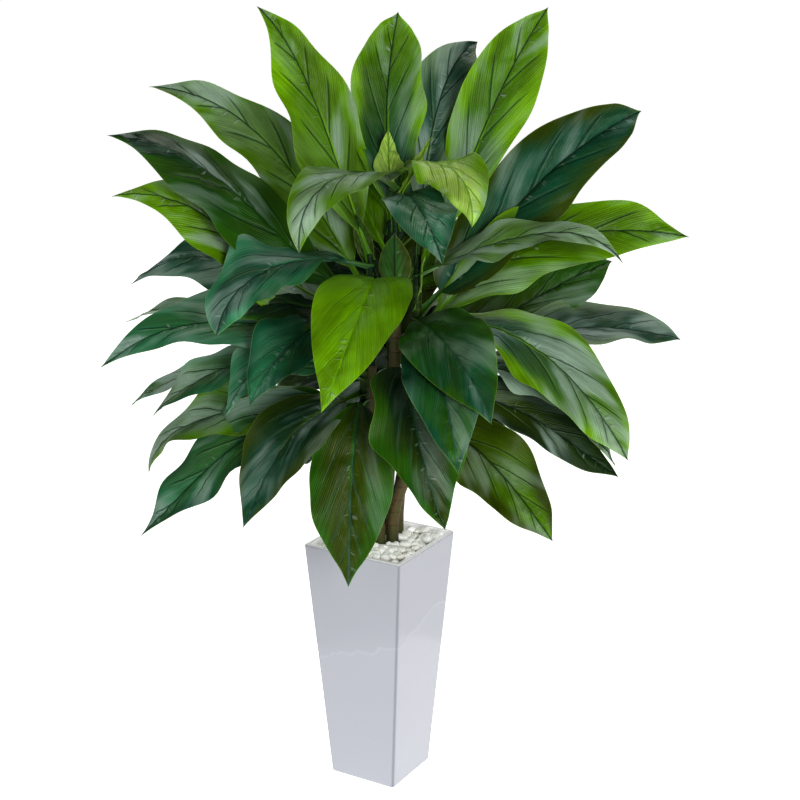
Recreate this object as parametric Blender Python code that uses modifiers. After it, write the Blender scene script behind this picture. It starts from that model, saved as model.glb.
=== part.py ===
"""Potted cordyline: leafy canes in a tall square glazed pot, topped with white pebbles.

Metres, +Z up. The pot's base centre is the origin and its walls face along X and Y.
The plant is turned about Z from the pot. Its own frame has x to the right, y to the back.
"""
from collections import namedtuple
from math import cos, radians, sin, tau

import bmesh
import bpy
import numpy as np
from mathutils import Matrix, Vector

# Pot
POT_HEIGHT = 0.360
POT_TOP_HALF = 0.0786
POT_BASE_HALF = 0.0527
POT_WALL = 0.0065
POT_FLOOR = 0.014
POT_CORNER = 0.005
POT_EDGE = 0.0026
POT_CUT_ABOVE = 0.02

# Fill
GAP = 0.0003
SOIL_TOP = 0.334
PEBBLE_BED_TOP = 0.3455
PEBBLE_CUT_TOP = 0.358
PEBBLES_A_SIDE = 6
PEBBLE_PITCH = 0.0236
PEBBLE_SHIFT = 0.0040
PEBBLE_LENGTH = (0.0125, 0.0155)
PEBBLE_BREADTH = (0.0095, 0.0115)
PEBBLE_DEPTH = (0.0065, 0.0080)
PEBBLE_TILT = 0.35
PEBBLE_SIDES = 7
PEBBLE_RINGS = 4
PEBBLE_SEED = 11

# Canes
CANE_RADIUS = 0.0098
CANE_TOP_RADIUS = 0.0082
CANE_FOOT = 0.235
CANE_STRAIGHT = 0.375
CANE_TOP_STRAIGHT = 0.02
CANE_STEPS = 6
HOLE_CLEARANCE = 0.0004
HOLE_SIDES = 28

# Leaves
PLANT_TURN = radians(30.7)
SHEATH_RADIUS = 0.0084
SHEATH_SIDES = 10
LEAF_ROWS = 7
LEAF_COLUMNS = 4
LEAF_THICKNESS = 0.0012
STALK_HALF = 0.0036
STALK_SHARE = 0.16
WAVES = 2.0
PHASE_STEP = 0.37
MERGE = 0.00005

COLLECTION = "potted_cordyline"

# A head is one leafy stem: where its cane leaves the soil and where its sheath stands,
# both as (x, y) in the plant's frame, and how high its sheath starts and ends.
Head = namedtuple("Head", "foot top sheath_from sheath_to tip_radius")
HEADS = {
    "crown": Head((0.006, 0.024), (0.022, -0.005), 0.675, 0.860, 0.0040),
    "left": Head((-0.022, 0.012), (-0.012, -0.005), 0.615, 0.770, 0.0050),
    "right": Head((0.032, 0.018), (0.052, 0.012), 0.615, 0.765, 0.0050),
    "low_left": Head((-0.001, -0.016), (-0.020, -0.045), 0.530, 0.620, 0.0060),
    "low_right": Head((0.020, -0.006), (0.045, -0.030), 0.530, 0.645, 0.0060),
    "back": Head((0.010, 0.046), (0.015, 0.080), 0.520, 0.800, 0.0050),
}

# A leaf leaves its sheath at height "at" and ends at height "tip", "reach" away on
# "bearing" (degrees from the plant's +x, counter-clockwise). It sets off at "rise" degrees
# above level and ends "fall" degrees below it. "curl" swings its middle sideways, "roll"
# turns the blade about its midrib at its root and tip, "belly" is the share of the blade
# at its widest and "point" how sharply it narrows to the tip. "hold" is how far along the
# leaf the first and last directions reach. "fold" lifts the blade's halves from its midrib,
# in degrees, or lowers them where it is negative.
Leaf = namedtuple(
    "Leaf",
    "head at bearing reach tip rise fall width roll wave curl belly point hold fold",
    defaults=(0.004, 0, 0.43, 1.1, (0.38, 0.38), 18),
)
LEAVES = [
    Leaf("crown", 0.800, 88, 0.070, 1.080, 80, -75, 0.094, (10, 0), 0.003, 50, 0.57, 0.80),
    Leaf("crown", 0.850, 232, 0.198, 0.802, 44, 68, 0.086, (35, -15), 0.004, 30),
    Leaf("crown", 0.840, 180, 0.012, 0.940, 85, -80, 0.045, (-90, -90), 0.001, 0, 0.40),
    Leaf("crown", 0.840, 350, 0.052, 0.930, 60, -60, 0.012, (60, 60), 0.001),
    Leaf("crown", 0.845, 305, 0.185, 0.834, 35, 80, 0.108, (10, 55), 0.004, 0, 0.52, 0.95),
    Leaf("crown", 0.820, 282, 0.262, 0.806, 34, 45, 0.092, (0, 0)),
    Leaf("crown", 0.700, 268, 0.030, 0.805, 85, -75, 0.044, (0, 0), 0.001),
    Leaf("left", 0.740, 172, 0.022, 0.825, 85, -75, 0.024, (-80, -80), 0.001),
    Leaf("left", 0.760, 171, 0.150, 1.088, 72, -40, 0.096, (-75, -75), 0.004, 0, 0.46, 1.3, (0.38, 0.25)),
    Leaf("left", 0.710, 159, 0.316, 0.979, 52, 0, 0.098, (-55, -40), 0.005, fold=-12),
    Leaf("left", 0.700, 188, 0.343, 0.933, 31, 5, 0.104, (-60, -40), 0.006, fold=-22),
    Leaf("left", 0.690, 187, 0.340, 0.855, 12, 8, 0.100, (-60, -45), 0.006, fold=-15),
    Leaf("left", 0.690, 168, 0.335, 0.713, 12, 42, 0.100, (-20, -25), 0.006, fold=-12),
    Leaf("left", 0.750, 211, 0.230, 0.685, 26, 80, 0.100, (0, -40), 0.006, 0, 0.52, 0.95),
    Leaf("left", 0.690, 220, 0.210, 0.595, 30, 60, 0.095, (-30, -30)),
    Leaf("left", 0.660, 207, 0.215, 0.572, 20, 65, 0.085, (-20, -20)),
    Leaf("left", 0.640, 188, 0.367, 0.625, 22, 42, 0.092, (-28, -30)),
    Leaf("left", 0.645, 169, 0.346, 0.658, 18, 25, 0.070, (0, 0)),
    Leaf("left", 0.670, 194, 0.200, 0.690, 22, 30, 0.090, (-40, -45)),
    Leaf("left", 0.700, 258, 0.255, 0.625, 62, 60, 0.124, (-5, -15), 0.003, 18, 0.43, 1.1, (0.45, 0.38)),
    Leaf("right", 0.750, 57, 0.158, 1.038, 86, -12, 0.090, (60, 45), 0.003, 0, 0.60, 1.1, (0.42, 0.28)),
    Leaf("right", 0.740, 6, 0.173, 1.090, 60, -55, 0.094, (70, 75), 0.003, 0, 0.52),
    Leaf("right", 0.680, 6, 0.303, 0.955, 48, -25, 0.098, (65, 60), 0.005, 0, 0.50, 0.70),
    Leaf("right", 0.745, 340, 0.290, 0.770, 20, 42, 0.085, (10, 20), 0.007),
    Leaf("right", 0.650, 358, 0.358, 0.800, 45, 8, 0.092, (55, 55), 0.006),
    Leaf("right", 0.640, 1, 0.368, 0.643, 3, 16, 0.088, (20, 20), 0.006, 0, 0.52),
    Leaf("right", 0.665, 337, 0.306, 0.512, 20, 60, 0.099, (25, 45), 0.006, 0, 0.60),
    Leaf("right", 0.675, 290, 0.265, 0.600, 8, 55, 0.114, (20, 25), 0.003, -14),
    Leaf("right", 0.690, 320, 0.030, 0.850, 82, -70, 0.040, (50, 50), 0.001),
    Leaf("low_right", 0.610, 358, 0.278, 0.490, 18, 50, 0.062, (15, 25)),
    Leaf("low_right", 0.575, 352, 0.280, 0.466, 8, 35, 0.080, (35, 45)),
    Leaf("low_right", 0.560, 328, 0.219, 0.409, -10, 52, 0.108, (40, 45), 0.004, 0, 0.50),
    Leaf("low_right", 0.630, 284, 0.230, 0.538, 45, 72, 0.095, (10, 10)),
    Leaf("low_right", 0.600, 283, 0.175, 0.445, 30, 75, 0.122, (-20, -10), 0.004, -30),
    Leaf("low_left", 0.570, 262, 0.140, 0.362, 25, 80, 0.113, (0, 0), 0.003, 0, 0.41, 1.2),
    Leaf("low_left", 0.580, 212, 0.188, 0.430, 15, 65, 0.105, (-35, -25), 0.003),
    Leaf("low_left", 0.555, 185, 0.303, 0.378, 10, 50, 0.094, (-45, -38), 0.005, 0, 0.48),
    Leaf("low_left", 0.565, 166, 0.312, 0.448, 8, 78, 0.075, (-30, -30), 0.005, 0, 0.43, 1.1, (0.42, 0.28)),
    Leaf("low_left", 0.605, 156, 0.372, 0.524, 18, 35, 0.075, (-15, -15)),
    Leaf("low_left", 0.605, 172, 0.298, 0.548, 28, 45, 0.082, (-15, -15)),
    Leaf("back", 0.600, 3, 0.315, 0.740, 10, -20, 0.100, (50, 40), 0.006, 0, 0.60, 0.75),
    Leaf("back", 0.780, 100, 0.110, 1.020, 75, -50, 0.095, (0, 0)),
    Leaf("back", 0.740, 155, 0.172, 0.915, 60, -10, 0.080, (-40, -30)),
    Leaf("back", 0.740, 35, 0.220, 0.940, 60, -10, 0.090, (40, 30)),
    Leaf("back", 0.720, 118, 0.270, 0.860, 50, 15, 0.095, (-10, -10)),
    Leaf("back", 0.720, 72, 0.280, 0.850, 50, 20, 0.095, (10, 10)),
    Leaf("back", 0.690, 172, 0.190, 0.780, 40, -15, 0.090, (-60, -50)),
    Leaf("back", 0.690, 8, 0.190, 0.780, 40, -15, 0.090, (60, 50)),
    Leaf("back", 0.670, 145, 0.300, 0.740, 45, 30, 0.095, (-15, -15)),
    Leaf("back", 0.670, 98, 0.300, 0.690, 45, 40, 0.100, (0, 0)),
    Leaf("back", 0.670, 50, 0.300, 0.720, 45, 35, 0.095, (15, 15)),
    Leaf("back", 0.600, 150, 0.080, 0.850, 80, -75, 0.090, (-45, -35)),
    Leaf("back", 0.600, 30, 0.085, 0.840, 80, -75, 0.090, (45, 35)),
    Leaf("back", 0.610, 128, 0.300, 0.560, 30, 50, 0.100, (-10, -10)),
    Leaf("back", 0.610, 78, 0.290, 0.540, 30, 55, 0.100, (5, 5)),
    Leaf("back", 0.600, 38, 0.280, 0.560, 30, 50, 0.095, (15, 15)),
    Leaf("back", 0.560, 150, 0.270, 0.430, 20, 60, 0.100, (-20, -20)),
    Leaf("back", 0.550, 105, 0.240, 0.410, 20, 65, 0.105, (0, 0)),
    Leaf("back", 0.550, 58, 0.250, 0.420, 20, 60, 0.100, (15, 15)),
]


def make_material(name, color, roughness, coat=0.0):
    """A plain Principled material."""
    material = bpy.data.materials.new(name)
    material.use_nodes = True
    surface = material.node_tree.nodes["Principled BSDF"]
    surface.inputs["Base Color"].default_value = (*color, 1)
    surface.inputs["Roughness"].default_value = roughness
    surface.inputs["Metallic"].default_value = 0
    surface.inputs["Coat Weight"].default_value = coat
    return material


def add_object(name, bm, collection, material=None, parent=None, location=(0, 0, 0)):
    """Turns a bmesh into a named object."""
    mesh = bpy.data.meshes.new(name)
    bm.to_mesh(mesh)
    bm.free()
    obj = bpy.data.objects.new(name, mesh)
    collection.objects.link(obj)
    obj.location = location
    obj.parent = parent
    if material:
        mesh.materials.append(material)
    return obj


def new_collection(name):
    collection = bpy.data.collections.new(name)
    bpy.context.scene.collection.children.link(collection)
    return collection


def add_cutter(name, bm, collection, parent=None, location=(0, 0, 0)):
    """A Boolean operand, kept out of the picture."""
    cutter = add_object(name, bm, collection, None, parent, location)
    cutter.display_type = "WIRE"
    cutter.hide_render = True
    return cutter


def boolean(obj, operation, operand, solver="EXACT"):
    """Applies one Boolean with an object or a whole collection."""
    modifier = obj.modifiers.new(operation.lower(), "BOOLEAN")
    modifier.operation = operation
    modifier.solver = solver
    if isinstance(operand, bpy.types.Collection):
        modifier.operand_type = "COLLECTION"
        modifier.collection = operand
    else:
        modifier.object = operand
    apply_modifiers(obj)


def apply_modifiers(obj):
    """Bakes an object's modifiers into its mesh."""
    bpy.context.view_layer.update()
    graph = bpy.context.evaluated_depsgraph_get()
    mesh = bpy.data.meshes.new_from_object(obj.evaluated_get(graph))
    obj.modifiers.clear()
    old = obj.data
    obj.data = mesh
    name = old.name
    bpy.data.meshes.remove(old)
    mesh.name = name


def remove_collection(collection):
    for obj in list(collection.objects):
        bpy.data.objects.remove(obj)
    bpy.data.collections.remove(collection)


def pot_half(height):
    """Half the pot's outer width at a height."""
    return POT_BASE_HALF + (POT_TOP_HALF - POT_BASE_HALF) * height / POT_HEIGHT


def tapered_block(low, high, inset, corner):
    """A square block that narrows as the pot does, inset from its outer walls."""
    bm = bmesh.new()
    bmesh.ops.create_cube(bm, size=2)
    for vert in bm.verts:
        height = high if vert.co.z > 0 else low
        half = pot_half(height) - inset
        vert.co = Vector((vert.co.x * half, vert.co.y * half, height))
    if corner:
        uprights = [e for e in bm.edges if abs(e.verts[0].co.z - e.verts[1].co.z) > 0.5 * (high - low)]
        bmesh.ops.bevel(
            bm, geom=uprights, offset=corner, segments=4, profile=0.5, affect="EDGES", clamp_overlap=True
        )
    return bm


def build_pot(parts, cutters, material):
    pot = add_object("pot", tapered_block(0, POT_HEIGHT, 0, POT_CORNER), parts, material)
    hollow = add_cutter(
        "pot_hollow", tapered_block(POT_FLOOR, POT_HEIGHT + POT_CUT_ABOVE, POT_WALL, 0.003), cutters
    )
    boolean(pot, "DIFFERENCE", hollow)
    bm = bmesh.new()
    bm.from_mesh(pot.data)
    ends = (0, POT_HEIGHT)
    rims = [
        e for e in bm.edges
        if any(all(abs(v.co.z - end) < MERGE for v in e.verts) for end in ends)
        and len(e.link_faces) == 2
        and any(abs(f.normal.z) < 0.9 for f in e.link_faces)
    ]
    bmesh.ops.bevel(bm, geom=rims, offset=POT_EDGE, segments=3, profile=0.5, affect="EDGES", clamp_overlap=True)
    bm.to_mesh(pot.data)
    bm.free()
    return pot


def cane_holes(cutters, plant, low, high):
    """Upright cylinders round each cane, as one cutter."""
    bm = bmesh.new()
    for head in HEADS.values():
        place = Matrix.Translation((*head.foot, (low + high) / 2))
        bmesh.ops.create_cone(
            bm,
            cap_ends=True,
            segments=HOLE_SIDES,
            radius1=CANE_RADIUS + HOLE_CLEARANCE,
            radius2=CANE_RADIUS + HOLE_CLEARANCE,
            depth=high - low,
            matrix=place,
        )
    return add_cutter("cane_holes", bm, cutters, plant)


def build_soil(parts, cutters, plant, material):
    block = tapered_block(POT_FLOOR + GAP, SOIL_TOP, POT_WALL + GAP, 0.003)
    soil = add_object("soil", block, parts, material)
    holes = cane_holes(cutters, plant, CANE_FOOT - GAP, SOIL_TOP + POT_CUT_ABOVE)
    boolean(soil, "DIFFERENCE", holes)
    return soil


def build_pebbles(parts, cutters, plant, material):
    """A bed of pebbles: a thin layer with stones fused in and trimmed at the pot's wall."""
    rng = np.random.default_rng(PEBBLE_SEED)
    inset = POT_WALL + GAP
    bed = add_object("pebbles", tapered_block(SOIL_TOP + GAP, PEBBLE_BED_TOP, inset, 0.003), parts, material)
    stones = new_collection("pebble_stones")
    middle = (PEBBLES_A_SIDE - 1) / 2
    for row in range(PEBBLES_A_SIDE):
        for column in range(PEBBLES_A_SIDE):
            spot = Vector(((column - middle) * PEBBLE_PITCH, (row - middle) * PEBBLE_PITCH, PEBBLE_BED_TOP))
            spot += Vector((*rng.uniform(-PEBBLE_SHIFT, PEBBLE_SHIFT, 2), rng.uniform(-0.002, 0.001)))
            size = [rng.uniform(*span) for span in (PEBBLE_LENGTH, PEBBLE_BREADTH, PEBBLE_DEPTH)]
            turn = Matrix.Rotation(rng.uniform(0, tau), 4, "Z")
            tilt = Matrix.Rotation(rng.uniform(-PEBBLE_TILT, PEBBLE_TILT), 4, "Y")
            bm = bmesh.new()
            bmesh.ops.create_uvsphere(bm, u_segments=PEBBLE_SIDES, v_segments=PEBBLE_RINGS, radius=1)
            bmesh.ops.transform(bm, matrix=turn @ tilt @ Matrix.Diagonal((*size, 1)), verts=bm.verts)
            add_object("stone", bm, stones, None, None, spot)
    boolean(bed, "UNION", stones, "MANIFOLD")
    remove_collection(stones)
    trim = tapered_block(SOIL_TOP - POT_CUT_ABOVE, PEBBLE_CUT_TOP, inset, 0.003)
    boolean(bed, "INTERSECT", add_cutter("pebble_trim", trim, cutters), "MANIFOLD")
    boolean(bed, "DIFFERENCE", cane_holes(cutters, plant, SOIL_TOP - POT_CUT_ABOVE, POT_HEIGHT), "MANIFOLD")
    return bed


def build_cane(name, head, parts, plant, material):
    """A round cane, upright in the fill and then easing over to its leafy head."""
    top = head.sheath_from - GAP
    start = Vector((*head.foot, CANE_FOOT))
    bend = Vector((*head.foot, CANE_STRAIGHT))
    end = Vector((*head.top, top))
    points = [(start, CANE_RADIUS)]
    for step in range(CANE_STEPS + 1):
        share = step / CANE_STEPS
        ease = share * share * (3 - 2 * share)
        spot = bend.lerp(end, ease)
        spot.z = CANE_STRAIGHT + (top - CANE_TOP_STRAIGHT - CANE_STRAIGHT) * share
        points.append((spot, CANE_RADIUS + (CANE_TOP_RADIUS - CANE_RADIUS) * share))
    points.append((end, CANE_TOP_RADIUS))
    curve = bpy.data.curves.new(name, "CURVE")
    curve.dimensions = "3D"
    curve.bevel_depth = 1
    curve.bevel_resolution = 1
    curve.use_fill_caps = True
    spline = curve.splines.new("POLY")
    spline.points.add(len(points) - 1)
    for target, (spot, radius) in zip(spline.points, points):
        target.co = (*(spot - start), 1)
        target.radius = radius
    path = bpy.data.objects.new(name + "_path", curve)
    parts.objects.link(path)
    bpy.context.view_layer.update()
    mesh = bpy.data.meshes.new_from_object(path.evaluated_get(bpy.context.evaluated_depsgraph_get()))
    bpy.data.objects.remove(path)
    bm = bmesh.new()
    bm.from_mesh(mesh)
    bmesh.ops.remove_doubles(bm, verts=bm.verts, dist=MERGE)
    bpy.data.meshes.remove(mesh)
    return add_object(name, bm, parts, material, plant, start)


def heading(bearing, rise):
    """The direction on a bearing, raised by an angle; both in degrees."""
    bearing, rise = radians(bearing), radians(rise)
    return np.array([cos(bearing) * cos(rise), sin(bearing) * cos(rise), sin(rise)])


def blade_width(share, belly, point):
    """Share of the blade's full width, along the blade."""
    swell = point * belly / (1 - belly)
    share = np.clip(share, 0, 1)
    return share**swell * (1 - share) ** point / (belly**swell * (1 - belly) ** point)


def leaf_points(leaf, phase, along, across):
    """Points of a leaf from its own head's axis at the sheath's foot.

    along is 0 at the root and 1 at the tip; across is -1 and 1 at the edges.
    """
    root = np.array([0, 0, leaf.at - HEADS[leaf.head].sheath_from])
    flat = heading(leaf.bearing, 0) * leaf.reach
    tip = root + flat + np.array([0, 0, leaf.tip - leaf.at])
    length = np.linalg.norm(tip - root)
    first = root + heading(leaf.bearing + leaf.curl, leaf.rise) * length * leaf.hold[0]
    last = tip - heading(leaf.bearing - leaf.curl, -leaf.fall) * length * leaf.hold[1]

    def rib(u):
        u = u[..., None]
        return (1 - u) ** 3 * root + 3 * (1 - u) ** 2 * u * first + 3 * (1 - u) * u**2 * last + u**3 * tip

    steps = np.linspace(0, 1, 33)
    lengths = np.concatenate([[0], np.cumsum(np.linalg.norm(np.diff(rib(steps), axis=0), axis=1))])
    travelled = np.interp(along, steps, lengths / lengths[-1])
    u = along[..., None]
    run = 3 * (1 - u) ** 2 * (first - root) + 6 * (1 - u) * u * (last - first) + 3 * u**2 * (tip - last)
    run = run / np.linalg.norm(run, axis=-1, keepdims=True)
    level = heading(leaf.bearing - 90, 0)
    side = level - (run @ level)[..., None] * run
    side = side / np.linalg.norm(side, axis=-1, keepdims=True)
    face = np.cross(side, run)
    roll = np.radians(leaf.roll[0] + (leaf.roll[1] - leaf.roll[0]) * travelled)[..., None]
    side, face = side * np.cos(roll) - face * np.sin(roll), face * np.cos(roll) + side * np.sin(roll)

    blade = (travelled - STALK_SHARE) / (1 - STALK_SHARE)
    swell = blade_width(blade, leaf.belly, leaf.point)
    half = np.maximum(0.5 * leaf.width * swell, np.where(travelled < 0.9, STALK_HALF, 0))
    edge = np.abs(across)
    trough = half * np.tan(radians(leaf.fold)) * (edge - 0.45 * edge**2)
    beat = WAVES * blade + phase + np.where(across > 0, PHASE_STEP, 0)
    ripple = leaf.wave * swell * edge**1.5 * np.sin(tau * beat)
    return rib(along) + side * (half * across)[..., None] + face * (trough + ripple)[..., None]


def leaf_mesh(leaf, phase):
    """One leaf blade and stalk as a thin sheet, split into the same triangles on both faces."""
    bm = bmesh.new()
    bmesh.ops.create_grid(bm, x_segments=LEAF_ROWS, y_segments=LEAF_COLUMNS, size=1)
    along = np.array([(vert.co.x + 1) / 2 for vert in bm.verts])
    across = np.array([vert.co.y for vert in bm.verts])
    for vert, spot in zip(bm.verts, leaf_points(leaf, phase, along, across)):
        vert.co = Vector(spot)
    bmesh.ops.triangulate(bm, faces=bm.faces, quad_method="FIXED")
    bmesh.ops.remove_doubles(bm, verts=bm.verts, dist=MERGE)
    return bm


def build_head(name, head, parts, plant, material):
    """The sheath of one leafy stem with its leaves fused in."""
    tall = head.sheath_to - head.sheath_from
    place = (*head.top, head.sheath_from)
    bm = bmesh.new()
    bmesh.ops.create_cone(
        bm,
        cap_ends=True,
        segments=SHEATH_SIDES,
        radius1=SHEATH_RADIUS,
        radius2=head.tip_radius,
        depth=tall,
        matrix=Matrix.Translation((0, 0, tall / 2)),
    )
    sheath = add_object(name + "_leaves", bm, parts, material, plant, place)
    blades = new_collection(name + "_blades")
    for number, leaf in enumerate(LEAVES):
        if leaf.head != name:
            continue
        blade = add_object("blade", leaf_mesh(leaf, number * PHASE_STEP), blades, None, plant, place)
        thicken = blade.modifiers.new("thickness", "SOLIDIFY")
        thicken.thickness = LEAF_THICKNESS
        thicken.offset = 0
        apply_modifiers(blade)
    boolean(sheath, "UNION", blades, "MANIFOLD")
    remove_collection(blades)
    return sheath


def main():
    for obj in list(bpy.data.objects):
        bpy.data.objects.remove(obj)
    parts = new_collection(COLLECTION)
    cutters = new_collection("cutters")
    plant = bpy.data.objects.new("plant", None)
    parts.objects.link(plant)
    plant.rotation_euler.z = PLANT_TURN
    glaze = make_material("white_glaze", (0.72, 0.73, 0.77), 0.12, 0.6)
    earth = make_material("dark_soil", (0.045, 0.032, 0.022), 0.95)
    stone = make_material("white_pebble", (0.80, 0.79, 0.75), 0.5)
    bark = make_material("brown_cane", (0.085, 0.055, 0.025), 0.6)
    green = make_material("leaf_green", (0.045, 0.13, 0.025), 0.35)
    build_pot(parts, cutters, glaze)
    build_soil(parts, cutters, plant, earth)
    build_pebbles(parts, cutters, plant, stone)
    for name, head in HEADS.items():
        build_cane(name + "_cane", head, parts, plant, bark)
        build_head(name, head, parts, plant, green)


main()
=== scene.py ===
"""Looks of a potted cordyline: waved glossy leaves on canes, in a square glazed pot of pebbles.

The file is laid out as an add-on and run as a script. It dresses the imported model, in metres.
"""

from collections import namedtuple
from math import cos, pi, radians, sin, tau

import bmesh
import bpy
import numpy as np
from bpy.props import FloatProperty, FloatVectorProperty, IntProperty, PointerProperty
from bpy.types import Operator, Panel, PropertyGroup
from mathutils import Matrix, Vector, noise


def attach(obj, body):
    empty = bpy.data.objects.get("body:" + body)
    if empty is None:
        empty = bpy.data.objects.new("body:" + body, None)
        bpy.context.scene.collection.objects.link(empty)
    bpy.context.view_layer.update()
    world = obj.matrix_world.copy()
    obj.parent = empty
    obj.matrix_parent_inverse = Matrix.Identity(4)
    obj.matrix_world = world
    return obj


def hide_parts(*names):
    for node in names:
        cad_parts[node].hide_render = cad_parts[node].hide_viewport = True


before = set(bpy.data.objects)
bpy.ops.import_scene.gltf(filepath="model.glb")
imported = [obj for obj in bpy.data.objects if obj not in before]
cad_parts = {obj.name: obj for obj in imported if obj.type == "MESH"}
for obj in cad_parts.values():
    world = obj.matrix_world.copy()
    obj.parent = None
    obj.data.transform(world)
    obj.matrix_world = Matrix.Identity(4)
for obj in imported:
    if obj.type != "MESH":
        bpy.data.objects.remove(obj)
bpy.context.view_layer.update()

bl_info = {
    "name": "Potted Cordyline",
    "version": (1, 0, 0),
    "blender": (4, 5, 0),
    "location": "3D View > Sidebar > Cordyline",
    "description": "Builds the leaves, canes, pebbles, pot and studio of a potted cordyline",
    "category": "Add Mesh",
}

BODY = "root"

# Places that the solids have too
PLANT_TURN = radians(30.7)
GAP = 0.0003
POT_HEIGHT = 0.360
POT_TOP_HALF = 0.0786
POT_BASE_HALF = 0.0527
POT_WALL = 0.0065
POT_FLOOR = 0.014
SOIL_TOP = 0.334
CANE_FOOT = 0.235
CANE_STRAIGHT = 0.375
CANE_TOP_STRAIGHT = 0.02

# A head is one leafy stem: where its cane leaves the soil and where its sheath stands, both as
# (x, y) in the plant's frame, how high its sheath starts and ends, and its radius at the top.
Head = namedtuple("Head", "foot top sheath_from sheath_to tip_radius")
HEADS = {
    "crown": Head((0.006, 0.024), (0.022, -0.005), 0.675, 0.860, 0.0040),
    "left": Head((-0.022, 0.012), (-0.012, -0.005), 0.615, 0.770, 0.0050),
    "right": Head((0.0245, 0.021), (0.052, 0.012), 0.615, 0.765, 0.0050),
    "low_left": Head((-0.001, -0.016), (-0.020, -0.045), 0.530, 0.620, 0.0060),
    "low_right": Head((0.0175, -0.006), (0.045, -0.030), 0.530, 0.645, 0.0060),
    "back": Head((0.010, 0.046), (0.015, 0.080), 0.520, 0.800, 0.0050),
}

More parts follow.
